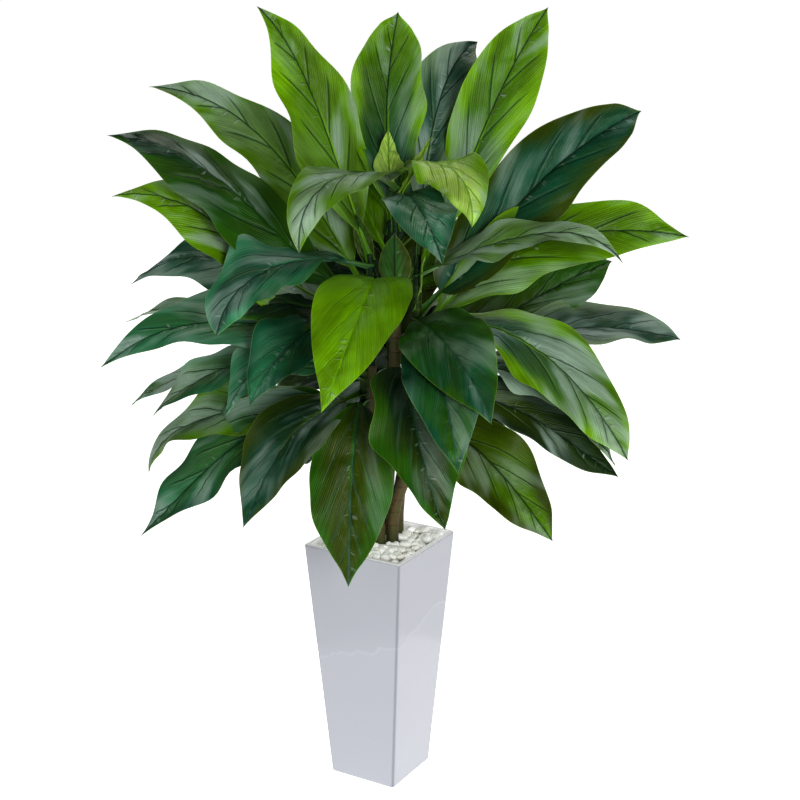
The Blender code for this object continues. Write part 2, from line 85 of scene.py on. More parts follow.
# A leaf has a tone at its root, at its tip and along its margins, and a fourth where its veins
# aren't of the usual one. It leaves its sheath at height "at" and ends at height "tip", "reach"
# away on "bearing" (degrees from the plant's +x, counter-clockwise). It sets off at "rise"
# degrees above level and ends "fall" degrees below it. "curl" swings its middle sideways, "roll"
# turns the blade about its midrib at its root and tip, "wave" sets how high its margins wave,
# "belly" is the share of the blade at its widest and "point" how sharply it narrows to the tip.
# "hold" is how far along the leaf the first and last directions reach. "fold" lifts the blade's
# halves from its midrib, or lowers them where it is negative. "phase" says where along the
# blade its waves fall, and the last field how strongly painted sheen shows on its left and right
# halves.
Leaf = namedtuple(
    "Leaf",
    "tones head at bearing reach tip rise fall width roll wave curl belly point hold fold phase dust",
    defaults=(0.004, 0, 0.45, 1.1, (0.4, 0.4), 18, 0, (0.5, 0.5)),
)
LEAVES = [
    Leaf("teal leaf lime", "crown", 0.8, 87, 0.075, 1.085, 80, -75, 0.098, (15, 5),
         curl=45, belly=0.55, point=0.6, fold=22, phase=0.88, dust=(0.9, 0.6)),
    Leaf("sage sage leaf", "crown", 0.855, 232, 0.195, 0.8, 40, 95, 0.096, (20, -40),
         wave=0.002, curl=15, belly=0.25, point=0.9, hold=(0.4, 0.55), fold=6, phase=0.81, dust=(0.8, 0.8)),
    Leaf("pale pale pale leaf", "crown", 0.86, 167, 0.01, 0.94, 50, -85, 0.038, (-90, -85),
         curl=-30, belly=0.25, point=1.3, hold=(0.35, 0.3), phase=0.68, dust=(0.2, 0.2)),
    Leaf("pale pale lime leaf", "crown", 0.84, 350, 0.05, 0.93, 60, -60, 0.012, (60, 60),
         wave=0.001, phase=0.11, dust=(0.5, 0.6)),
    Leaf("pale pale lime leaf", "crown", 0.875, 306, 0.165, 0.83, 35, 105, 0.086, (-25, 45),
         curl=15, hold=(0.55, 0.4), fold=-2, phase=0.38, dust=(0.9, 0.9)),
    Leaf("teal jade teal", "crown", 0.83, 282, 0.275, 0.81, 45, 45, 0.086, (0, 5),
         curl=-5, belly=0.5, hold=(0.3, 0.3), fold=10, phase=0.85, dust=(0.3, 0.7)),
    Leaf("green green olive", "crown", 0.7, 268, 0.03, 0.805, 85, -75, 0.044, (0, 0),
         wave=0.001, phase=0.22, dust=(0, 0)),
    Leaf("olive green olive", "left", 0.74, 172, 0.02, 0.825, 85, -75, 0.024, (-80, -80),
         wave=0.001, phase=0.59, dust=(0.2, 0.1)),
    Leaf("leaf leaf lime", "left", 0.76, 170, 0.15, 1.095, 70, -40, 0.096, (-65, -65),
         wave=0.005, hold=(0.4, 0.25), fold=10, phase=0.2, dust=(0.2, 1)),
    Leaf("leaf sage leaf", "left", 0.71, 160, 0.325, 0.982, 56, 0, 0.086, (-80, -48),
         wave=0.0055, curl=-4, belly=0.38, point=1, hold=(0.38, 0.38), fold=-8, phase=0.27, dust=(0.9, 0.9)),
    Leaf("green dark green", "left", 0.7, 186, 0.343, 0.934, 28, 0, 0.122, (-56, -28),
         wave=0.0035, curl=8, belly=0.48, hold=(0.38, 0.38), fold=-22, phase=0.18, dust=(0.4, 0.9)),
    Leaf("olive lime lime", "left", 0.69, 187, 0.34, 0.855, 5, 10, 0.104, (-60, -45),
         belly=0.4, fold=-8, phase=0.31, dust=(0.9, 1.2)),
    Leaf("slate slate teal", "left", 0.69, 170, 0.34, 0.715, 15, 40, 0.11, (-25, -25),
         wave=0.005, curl=-10, point=1, fold=-12, phase=0.5, dust=(0.8, 0.8)),
    Leaf("teal slate jade dark", "left", 0.75, 211, 0.23, 0.685, 25, 80, 0.1, (0, -40),
         wave=0.006, belly=0.55, point=0.9, phase=0.81, dust=(0.4, 0.7)),
    Leaf("teal jade teal slate", "left", 0.66, 224, 0.215, 0.6, 40, 50, 0.092, (-15, -30),
         curl=-15, belly=0.5, point=1.3, hold=(0.4, 0.35), fold=20, phase=0.78, dust=(0.2, 0.2)),
    Leaf("jade jade jade slate", "left", 0.66, 207, 0.215, 0.57, 20, 65, 0.084, (-20, -20),
         phase=0.55, dust=(0.7, 0.7)),
    Leaf("green jade jade", "left", 0.64, 188, 0.365, 0.625, 15, 40, 0.112, (-20, -35),
         wave=0.003, belly=0.4, point=1.2, phase=0.98, dust=(0.7, 1)),
    Leaf("slate sage sage", "left", 0.645, 170, 0.35, 0.66, 20, 25, 0.066, (0, 0),
         fold=22, phase=0.29, dust=(1, 1)),
    Leaf("dark dark green", "left", 0.67, 194, 0.2, 0.69, 20, 30, 0.09, (-40, -45),
         phase=0.66, dust=(0.2, 0.1)),
    Leaf("lime lime lime lime", "left", 0.7, 258, 0.27, 0.625, 60, 60, 0.122, (-5, 0),
         wave=0.002, curl=35, point=1.2, hold=(0.45, 0.4), fold=16, phase=0.01, dust=(0.2, 0.1)),
    Leaf("slate slate sage", "right", 0.75, 57, 0.155, 1.04, 85, -10, 0.094, (60, 30),
         wave=0.003, curl=5, belly=0.6, point=1.2, hold=(0.4, 0.3), phase=0.28, dust=(0.9, 0.5)),
    Leaf("green leaf lime", "right", 0.74, 7, 0.173, 1.093, 60, -56, 0.098, (54, 76),
         wave=0.003, curl=4, belly=0.6, point=0.8, hold=(0.38, 0.38), fold=14, phase=0.07, dust=(0.7, 0.6)),
    Leaf("teal teal olive", "right", 0.68, 6, 0.303, 0.956, 44, -24, 0.11, (60, 60),
         belly=0.48, point=0.5, hold=(0.38, 0.38), fold=30, phase=0.26, dust=(0.5, 0.4)),
    Leaf("leaf sage sage", "right", 0.735, 333, 0.295, 0.78, 30, 50, 0.064, (25, 45),
         curl=10, belly=0.25, hold=(0.25, 0.35), fold=12, phase=0.63, dust=(0.8, 1.2)),
    Leaf("leaf leaf lime", "right", 0.65, 356, 0.365, 0.795, 55, 10, 0.104, (60, 55),
         wave=0.005, point=0.9, phase=0.64, dust=(0.8, 0.6)),
    Leaf("dark slate sage", "right", 0.64, 1, 0.365, 0.645, 0, 15, 0.112, (20, 20),
         curl=5, belly=0.65, point=1, phase=0.37, dust=(1, 0.9)),
    Leaf("slate leaf lime", "right", 0.665, 337, 0.305, 0.51, 20, 60, 0.108, (20, 45),
         belly=0.5, point=0.9, fold=10, phase=0.44, dust=(1, 0.9)),
    Leaf("green teal green slate", "right", 0.675, 290, 0.265, 0.6, 10, 55, 0.114, (20, 25),
         wave=0.003, curl=-15, phase=0.99, dust=(0.5, 0.5)),
    Leaf("olive leaf lime", "right", 0.69, 320, 0.03, 0.85, 80, -70, 0.04, (50, 50),
         wave=0.001, phase=0.36, dust=(0.3, 0.3)),
    Leaf("slate sage sage", "low_right", 0.61, 358, 0.28, 0.48, 20, 60, 0.062, (15, 25),
         wave=0.006, phase=0.55, dust=(1.2, 1.2)),
    Leaf("olive dark dark", "low_right", 0.575, 354, 0.285, 0.47, 15, 35, 0.08, (30, 50),
         wave=0.005, belly=0.5, point=1, phase=0.86, dust=(0.3, 1)),
    Leaf("olive leaf olive", "low_right", 0.56, 328, 0.22, 0.41, -10, 50, 0.1, (35, 45),
         curl=-5, point=1, phase=0.47, dust=(0.4, 0.5)),
    Leaf("teal green teal slate", "low_right", 0.63, 284, 0.23, 0.54, 45, 70, 0.096, (10, 10),
         phase=0.84, dust=(0.5, 0.2)),
    Leaf("dark olive green slate", "low_right", 0.615, 283, 0.185, 0.45, 25, 55, 0.128, (5, -20),
         wave=0.005, curl=-25, belly=0.4, point=1, hold=(0.4, 0.35), fold=20, phase=0.31, dust=(0.5, 0.3)),
    Leaf("olive olive green slate", "low_left", 0.57, 262, 0.14, 0.36, 25, 80, 0.112, (0, 0),
         wave=0.003, point=1.2, phase=0.58, dust=(0.3, 0)),
    Leaf("dark teal olive slate", "low_left", 0.585, 213, 0.19, 0.43, -5, 65, 0.118, (-25, -5),
         wave=0.001, curl=5, hold=(0.5, 0.45), phase=0, dust=(0.6, 0.6)),
    Leaf("green jade teal", "low_left", 0.555, 183, 0.31, 0.385, 10, 45, 0.11, (-45, -30),
         wave=0.005, curl=-5, belly=0.4, phase=0.32, dust=(0.8, 0.9)),
    Leaf("green sage leaf", "low_left", 0.565, 168, 0.315, 0.45, 0, 80, 0.088, (-40, -30),
         wave=0.005, point=0.9, hold=(0.4, 0.3), phase=0.81, dust=(0.6, 1)),
    Leaf("slate sage jade", "low_left", 0.605, 156, 0.375, 0.525, 10, 35, 0.084, (-15, -20),
         point=1, phase=0.12, dust=(1.2, 1.2)),
    Leaf("jade sage jade", "low_left", 0.605, 174, 0.295, 0.545, 25, 45, 0.086, (-25, -25),
         point=0.9, phase=0.43, dust=(1.1, 1.1)),
    Leaf("olive green green", "back", 0.6, 3, 0.315, 0.74, 10, -20, 0.124, (50, 40),
         wave=0.006, belly=0.6, point=0.8, fold=22, phase=0.8, dust=(0.3, 0.8)),
    Leaf("green leaf lime", "back", 0.78, 100, 0.11, 1.02, 75, -50, 0.096, (0, 0),
         phase=0.17, dust=(0.4, 0.4)),
    Leaf("lime lime lime leaf", "back", 0.74, 155, 0.17, 0.915, 60, -10, 0.08, (-40, -30),
         phase=0.54, dust=(0.1, 0.2)),
    Leaf("teal green olive", "back", 0.74, 35, 0.22, 0.94, 60, -10, 0.09, (40, 30), phase=0.91),
    Leaf("teal teal green", "back", 0.72, 118, 0.27, 0.86, 50, 15, 0.096, (-10, -10), phase=0.28),
    Leaf("leaf leaf lime", "back", 0.72, 72, 0.28, 0.85, 50, 20, 0.096, (10, 10), phase=0.65),
    Leaf("dark dark olive", "back", 0.69, 172, 0.19, 0.78, 40, -15, 0.09, (-60, -50),
         phase=0.02, dust=(0.1, 0.1)),
    Leaf("leaf leaf olive", "back", 0.69, 8, 0.19, 0.78, 40, -15, 0.09, (60, 50),
         phase=0.39, dust=(0.1, 0.1)),
    Leaf("green teal green", "back", 0.67, 145, 0.3, 0.74, 45, 30, 0.096, (-15, -15), phase=0.76),
    Leaf("teal slate green", "back", 0.67, 98, 0.3, 0.69, 45, 40, 0.1, (0, 0), phase=0.13),
    Leaf("leaf lime lime", "back", 0.67, 50, 0.3, 0.72, 45, 35, 0.096, (15, 15), phase=0.62),
    Leaf("dark olive dark", "back", 0.6, 150, 0.08, 0.85, 80, -75, 0.09, (-45, -35),
         phase=0.87, dust=(0.1, 0.1)),
    Leaf("olive olive olive", "back", 0.6, 30, 0.085, 0.84, 80, -75, 0.09, (45, 35),
         phase=0.24, dust=(0.1, 0.1)),
    Leaf("green teal slate", "back", 0.61, 128, 0.3, 0.56, 30, 50, 0.1, (-10, -10), phase=0.61),
    Leaf("dark green olive", "back", 0.61, 78, 0.29, 0.545, 30, 65, 0.108, (-5, -5),
         fold=30, phase=0.98),
    Leaf("dark olive dark", "back", 0.6, 38, 0.28, 0.56, 30, 50, 0.096, (15, 15),
         phase=0.35, dust=(0.1, 0.1)),
    Leaf("dark olive dark", "back", 0.56, 150, 0.27, 0.43, 15, 50, 0.108, (-30, -20),
         belly=0.4, phase=0.72, dust=(0.2, 0.3)),
    Leaf("dark dark dark", "back", 0.55, 107, 0.24, 0.405, 20, 65, 0.122, (0, 0),
         belly=0.5, point=1, phase=0.09, dust=(0.2, 0.1)),
    Leaf("teal green teal", "back", 0.55, 57, 0.25, 0.42, 20, 60, 0.1, (15, 15), phase=0.46),
    Leaf("dark dark dark", "left", 0.665, 88, 0.16, 0.56, 45, 10, 0.086, (40, -20),
         phase=0.8, dust=(0.1, 0.1)),
    Leaf("dark olive dark", "back", 0.65, 61, 0.16, 0.505, 40, -5, 0.088, (-10, 55),
         phase=0.69, dust=(0.1, 0.1)),
    Leaf("dark dark dark", "left", 0.67, 150, 0.135, 0.46, 50, -40, 0.082, (-55, 30),
         phase=0.15, dust=(0.1, 0.1)),
    Leaf("dark dark dark", "back", 0.62, 338, 0.175, 0.52, 20, 10, 0.102, (-25, 25),
         phase=0.64, dust=(0.1, 0.1)),
    Leaf("dark dark dark", "low_right", 0.545, 27, 0.15, 0.605, 10, 60, 0.074, (-5, -30),
         phase=0.85, dust=(0.2, 0.2)),
]

# Leaf mesh
TONES = 4
USUAL_VEIN = "vein"
PLACE_LAYERS = ("blade", "metres")
COLOUR_LAYERS = ("body", "margin", "veins")
LEAF_ROWS = 60
HALF_COLUMNS = 10
COLUMN_BIAS = 1.35
END_CROWDING = 0.55
RIB_STEPS = 65
MERGE = 0.00002
STALK_HALF = 0.0036
STALK_SHARE = 0.115
STALK_BLEND = (-0.10, 0.14)
STALK_CHANNEL = 0.75
STALK_END = 0.9
CLASP_HALF = 0.0040
CLASP_SHARE = 0.035
GROOVE_HALF = 0.0016
KEEL_HALF = 0.0026
KEEL_HEIGHT = 1.4
FOLD_EASE = 0.45
VEIN_PITCH = 0.20
VEIN_LEAN = 2.7
WAVES = 2.0
WAVE_STEP = 0.37
WAVE_GAIN = 2.0
OVERWAVE = 0.35
OVERWAVE_BEATS = 2.15
EDGE_BEATS = 5.3
OUTLINE_BEATS = 2.7
OUTLINE_PHASE = 1.7
OUTLINE_STEP = 0.4
OUTLINE_SWING = 0.13
CALM_WAVE = 0.002
FULL_WAVE = 0.006
TIP_PINCH = 0.14
PINCH_AT = 0.93
PINCH_SPAN = 0.055
TIP_SHARE = 0.08
TIP_POINT = 1.2
SWING_START = (0.1, 0.3)
PILLOW_EDGE = (0.85, 0.35)
PILLOW_START = (0.0, 0.006)
CREASE_SCALE = 75
CREASE_LEAN = 0.6
CREASE_STRETCH = 0.8
CREASE_APART = 9
CREASE_EDGE = (0.95, 0.25)
SHEATH_SIDES = 28
SHEATH_RINGS = 60
SHEATH_RADIUS = 0.0082
SHEATH_PITCH = 0.011
SHEATH_NECK = 0.90
SHEATH_SWELL = 0.16
SHARP_EDGE = radians(62)

# Leaf pattern: how far the fibres lean from the midrib and how much the blade shines, cells or
# waves per metre, shares of the space between side veins, how strongly marks show, where they
# fade from and to in metres, and heights in metres
FIBRE_LEAN = 0.30
LEAF_GLOSS = 0.18
ZONE_SCALE = 19
PATCH_SCALE = 17
MOTTLE_SCALE = 110
PUCKER_SCALE = 120
RUNG_SCALE = 150
STREAK_SCALE = 330
RIB_SCALE = 350
FIBRE_SCALE = 900
VEIN_WIDTH = 0.13
GLINT_WIDTH = 0.15
GLINT_LAG = 0.10
VEIN_SHOW = 0.74
GROOVE_SHOW = 0.80
STALK_SHOW = 0.6
OLIVE_SHOW = 0.35
RIM_SHOW = 0.17
STRIP_SHOW = 0.25
STRIP_RIGHT_SHOW = 0.60
STRIP_EDGE = (0.0040, 0.0024)
GROOVE_EDGE = (0.0015, 0.0005)
VEIN_START = (0.0004, 0.0016)
RIM_EDGE = (0.0014, 0.0003)
RIB_HEIGHT = 0.00009
FIBRE_HEIGHT = 0.00002
VEIN_DEPTH = 0.0007
PUCKER_HEIGHT = 0.0020
RUNG_HEIGHT = 0.0012

# The pot's rounded edges: whether each kind is upright, outside and high up, and its radius
POT_ROUNDINGS = {
    "outer corners": (True, True, True, 0.0052),
    "inner corners": (True, False, True, 0.0030),
    "rim": (False, True, True, 0.0046),
    "foot": (False, True, False, 0.0030),
    "mouth": (False, False, True, 0.0014),
}
BEVEL_STEPS = 5
STEEP = 0.9

# Pot glaze: cells per metre, then in metres how far from a corner its painted shade reaches, how
# far below the top and inside the outer face its painted light reaches, how high a painted
# reflection line runs across it and rises with x and y, and the height of its bumps
DRIFT_SCALE = 9
SWAY_SCALE = 26
SPECK_SCALE = 700
CORNER_SHADE_REACH = (0.0046, 0.0018)
LIT_BELOW = (0.0022, 0.0003)
LIT_INSIDE = (0.0030, 0.0050)
REFLECTION_LINE_HEIGHT = 0.225
REFLECTION_LINE_RISE = (0.35, 0.25)
REFLECTION_LINE_SWAY = 0.05
DRIFT_HEIGHT = 0.0009
SPECK_HEIGHT = 0.000004

# Pebble mesh and pattern
PEBBLE_SEED = 23
STONE_FACES = 3
DEEP_STONE_FACES = 2
DEEP_SHARE = 0.85
DEEP_MARGIN = 0.75
DEEP_HEIGHTS = (0.008, 0.011)
STONE_HEIGHTS = (0.0170, 0.0235)
STONE_BREADTH = (0.66, 0.88)
STONE_THICKNESS = (0.58, 0.76)
STONE_TILT = 0.8
STONE_LUMP = 0.26
LUMP_SCALE = 1.4
SPREAD_ROUNDS = 90
SPREAD_PUSH = 0.4
CANE_ROOM = 0.0165
BED_HEIGHT = 0.007
# The bed counts as the lowest part of a stone, so it takes the full painted crevice shade
BED_RISE = -1.0
NOISE_REACH = 50
PIT_SCALE = 260
STAIN_SCALE = 90
GRIT_SCALE = 1500
# Heights on a stone, as shares of its half length, over which the painted crevice shade fades in going down
CREVICE_RISE = (0.46, -0.20)
PIT_DEPTH = 0.00045
GRIT_DEPTH = 0.00008

# Cane mesh and pattern
CANE_SIDES = 24
CANE_RINGS = 90
CANE_NECK = 0.955
CANE_LUMP = 0.04
CANE_SPACING = 90
LUMP_BEATS = 9
SCAR_PITCH = 0.021
SCAR_DRIFT = 0.22
DRIFT_BEATS = 6
SCAR_SWELL = 0.045
SCAR_SHARPNESS = 6
SCAR_WIDTH = 0.14
BARK_SCALE = 70
GRAIN_ROUND = 1.4
GRAIN_ALONG = 18
GRAIN_SCALE = 2.6

# Soil pattern
CLOD_SCALE = 160
CLOD_HEIGHT = 0.004

# Camera and studio
CAMERA_PLACE = (1.1582, -1.8937, 1.2135)
CAMERA_TARGET = (0.0244, 0.0145, 0.5631)
CAMERA_LENS = 75
CAMERA_SENSOR = 36
VIEW_GAMMA = 0.82
FLOOR_HALF = 90.0
POOL_RADIUS = 0.48
POOL_EDGE = 0.03
POOL_SCALE = 5
POOL_SWAY = 0.12
FAR_GLOW = 0.73
LIT_POINT = (0, 0, 0.6)
SOFTBOXES = {
    "key_softbox": ((-2.0, -1.9, 2.5), 1.3, 26),
    "front_softbox": ((2.0, -1.65, 1.15), 1.0, 40),
    "top_softbox": ((-0.6, 1.5, 3.0), 1.6, 36),
    "back_softbox": ((-1.9, 3.1, 1.5), 3.0, 30),
}


def smooth(value, low, high):
    """Eases from 0 to 1 as a value goes from low to high."""
    share = np.clip((value - low) / (high - low), 0, 1)
    return share * share * (3 - 2 * share)


def colour(name, description, *default):
    """A colour that a user can change."""
    return FloatVectorProperty(name=name, description=description, subtype="COLOR", default=default)


def metres(name, description, default):
    """A length that a user can change."""
    return FloatProperty(name=name, description=description, subtype="DISTANCE", default=default)


def strength(name, description, default):
    """A share that a user can change."""
    return FloatProperty(name=name, description=description, subtype="FACTOR", default=default)


class LeafLook(PropertyGroup):
    """Tones and sizes of the leaves."""

    lime: colour("Lime", "Brightest new leaves", 0.230, 0.500, 0.001)
    pale: colour("Pale", "Palest young leaves", 0.560, 0.820, 0.160)
    leaf: colour("Leaf", "Fresh green", 0.135, 0.312, 0.002)
    green: colour("Green", "Middle green", 0.036, 0.160, 0.006)
    teal: colour("Teal", "Bluish green", 0.008, 0.115, 0.055)
    dark: colour("Dark", "Old inner leaves", 0.007, 0.040, 0.016)
    jade: colour("Jade", "Clear bluish green", 0.048, 0.275, 0.128)
    slate: colour("Slate", "Greyish green", 0.050, 0.150, 0.105)
    # Sage is a leaf tone, and also the colour of the painted highlights beside the side veins
    sage: colour("Sage", "Dusty pale green", 0.270, 0.420, 0.225)
    olive: colour("Olive", "Yellowish dark green", 0.055, 0.095, 0.001)
    vein: colour("Vein", "Side veins and midrib groove", 0.005, 0.030, 0.014)
    # Painted sheen: the pale colour of the sheen patches and of the painted highlights on the creases
    dust: colour("Dust", "Dusty bloom", 0.405, 0.520, 0.445)
    # How strongly the painted sheen patches show
    sheen_patch: strength("Bloom", "Strength of the dusty pale patches", 0.80)
    thickness: metres("Blade thickness", "At the middle of the blade", 0.0009)
    stalk: metres("Stalk thickness", "At the leaf's stalk", 0.0032)
    pillow: metres("Pillow", "How far the blade swells between side veins", 0.0017)
    crease: metres("Crease", "Height of the puckers beside the midrib", 0.0028)
    groove: metres("Groove", "Depth of the midrib groove", 0.0011)
    ripple: metres("Ripple", "Small waves of the margins", 0.0013)


class PotLook(PropertyGroup):
    """Finish of the pot, with its painted light, shade and glow."""

    glaze: colour("Glaze", "Body of the glaze", 0.455, 0.468, 0.510)
    # Painted light: a whiter tone on the rim and inside, where the lamps reach little
    mouth: colour("Mouth", "On the rim and inside", 0.86, 0.86, 0.87)
    # Painted shade: a grey tone down the upright corners
    corner_shade: colour("Corner", "Where the glaze is thin", 0.12, 0.12, 0.14)
    # Painted glow: emission of the rim and inside
    lift: strength("Lift", "Light that the mouth's glaze passes on", 0.34)
    roughness: strength("Roughness", "Of the fired glaze", 0.10)


class PebbleLook(PropertyGroup):
    """Sizes and colours of the pebbles."""

    count: IntProperty(name="Stones", description="In the top layer", default=104)
    deep_count: IntProperty(name="Deep stones", description="In the layer below", default=110)
    pitch: metres("Pitch", "Between neighbours in the top layer", 0.0158)
    smallest: metres("Smallest", "Half the length of a stone", 0.0066)
    largest: metres("Largest", "Half the length of a stone", 0.0115)
    white: colour("White", "Palest stones", 0.97, 0.97, 0.96)
    cream: colour("Cream", "Warmest stones", 0.90, 0.88, 0.82)
    # Painted shade: the greyer, darker tone on the low side of each stone, between the stones and on the bed
    crevice_shade: colour("Dirt", "Between the stones", 0.56, 0.54, 0.42)
    # Painted glow: the stones give off light, so they stay bright in the leaves' shade
    lift: strength("Lift", "Light that the stones pass on from within", 0.29)


class CaneLook(PropertyGroup):
    """Bark of the canes."""

    radius: metres("Radius", "At the foot", 0.0102)
    top_radius: metres("Top radius", "Under the leaves", 0.0082)
    bark: colour("Bark", "Between the scars", 0.125, 0.088, 0.026)
    moss: colour("Moss", "Greener bark", 0.100, 0.098, 0.022)
    green: colour("Green", "Collar above the pebbles", 0.050, 0.072, 0.010)
    collar: metres("Collar", "Height of the green collar over the foot", 0.135)
    scar: colour("Scar", "Rings left by old leaves", 0.045, 0.032, 0.012)


class SoilLook(PropertyGroup):
    """Colours of the fill under the pebbles."""

    damp: colour("Damp", "Hollows between clods", 0.016, 0.010, 0.006)
    crumb: colour("Crumb", "Tops of the clods", 0.085, 0.060, 0.040)


class StudioLook(PropertyGroup):
    """Light and floor."""

    sky: FloatProperty(name="Fill", description="Light from all round", default=0.05)
    floor: colour("Floor", "Paint of the floor", 0.45, 0.45, 0.45)
    floor_glow: FloatProperty(name="Floor glow", description="Light of the floor itself", default=1.35)
    softboxes: FloatProperty(name="Softboxes", description="Share of their usual power", default=1.0)


class CordylineLook(PropertyGroup):
    """All the settings of the plant and its studio."""

    leaf: PointerProperty(type=LeafLook)
    pot: PointerProperty(type=PotLook)
    pebble: PointerProperty(type=PebbleLook)
    cane: PointerProperty(type=CaneLook)
    soil: PointerProperty(type=SoilLook)
    studio: PointerProperty(type=StudioLook)


class Wire:
    """A socket that does arithmetic: an expression on wires adds its Math nodes."""

    def __init__(self, shader, socket):
        self.shader = shader
        self.socket = socket

    def math(self, operation, *values):
        return self.shader.add("ShaderNodeMath", {"operation": operation}, dict(enumerate(values)))

    def __add__(self, other):
        return self.math("ADD", self, other)

    def __sub__(self, other):
        return self.math("SUBTRACT", self, other)

    def __mul__(self, other):
        return self.math("MULTIPLY", self, other)

    def __gt__(self, other):
        return self.math("GREATER_THAN", self, other)

    def __rsub__(self, other):
        return self.math("SUBTRACT", other, self)

    def __abs__(self):
        return self.math("ABSOLUTE", self)

    __radd__ = __add__
    __rmul__ = __mul__


class Shader:
    """A material and the nodes that feed its surface."""

    def __init__(self, name):
        self.material = bpy.data.materials.new(name)
        self.material.use_nodes = True
        self.tree = self.material.node_tree
        self.surface = self.tree.nodes["Principled BSDF"]

    def feed(self, node, values):
        """Sets or links a node's sockets."""
        for key, value in values.items():
            if isinstance(value, Wire):
                self.tree.links.new(value.socket, node.inputs[key])
            else:
                node.inputs[key].default_value = value

    def add(self, kind, settings=None, values=None, output=0):
        """Adds a node: its settings first, then the values or links of its sockets."""
        node = self.tree.nodes.new(kind)
        for name, value in (settings or {}).items():
            setattr(node, name, value)
        self.feed(node, values or {})
        return Wire(self, node.outputs[output])

    def attribute(self, name, output):
        return self.add("ShaderNodeAttribute", {"attribute_name": name}, {}, output)

    def place(self):
        return self.add("ShaderNodeTexCoord", {}, {}, "Object")

    def split(self, vector):
        """A vector's three parts."""
        parts = self.add("ShaderNodeSeparateXYZ", {}, {0: vector})
        return [Wire(self, output) for output in parts.socket.node.outputs]

    def join(self, x, y, z):
        return self.add("ShaderNodeCombineXYZ", {}, {0: x, 1: y, 2: z})

    def ease(self, value, low, high, start=0.0, end=1.0):
        """Eases from start to end as a value goes from low to high."""
        return self.add(
            "ShaderNodeMapRange",
            {"interpolation_type": "SMOOTHSTEP"},
            {0: value, 1: low, 2: high, 3: start, 4: end},
        )

    def blend(self, share, first, second):
        """Mixes two colours."""
        return self.add("ShaderNodeMix", {"data_type": "RGBA"}, {0: share, 6: first, 7: second}, 2)

    def cloud(self, place, scale, detail=2.0, roughness=0.5):
        """Noise from 0 to 1."""
        return self.add(
            "ShaderNodeTexNoise",
            {},
            {"Vector": place, "Scale": scale, "Detail": detail, "Roughness": roughness},
        )

    def tint(self, colour, value=1.0, saturation=1.0):
        return self.add(
            "ShaderNodeHueSaturation", {}, {"Saturation": saturation, "Value": value, "Color": colour}
        )

    def line(self, beat, width):
        """1 on the lines where a beat is whole, 0 away from them."""
        away = abs(beat.math("FRACT", beat) - 0.5) * 2
        return self.ease(away, 1 - width, 1)

    def wave(self, beat):
        """A sine of a beat."""
        return beat.math("SINE", beat * tau)

    def finish(self, values, height=None):
        """Feeds the surface, and turns a height in metres into its bump."""
        if height is not None:
            bump = {"Strength": 1.0, "Distance": 1.0, "Height": height}
            values["Normal"] = self.add("ShaderNodeBump", {}, bump)
        self.feed(self.surface, values)
        return self.material


def rgba(colour):
    return (*colour, 1.0)


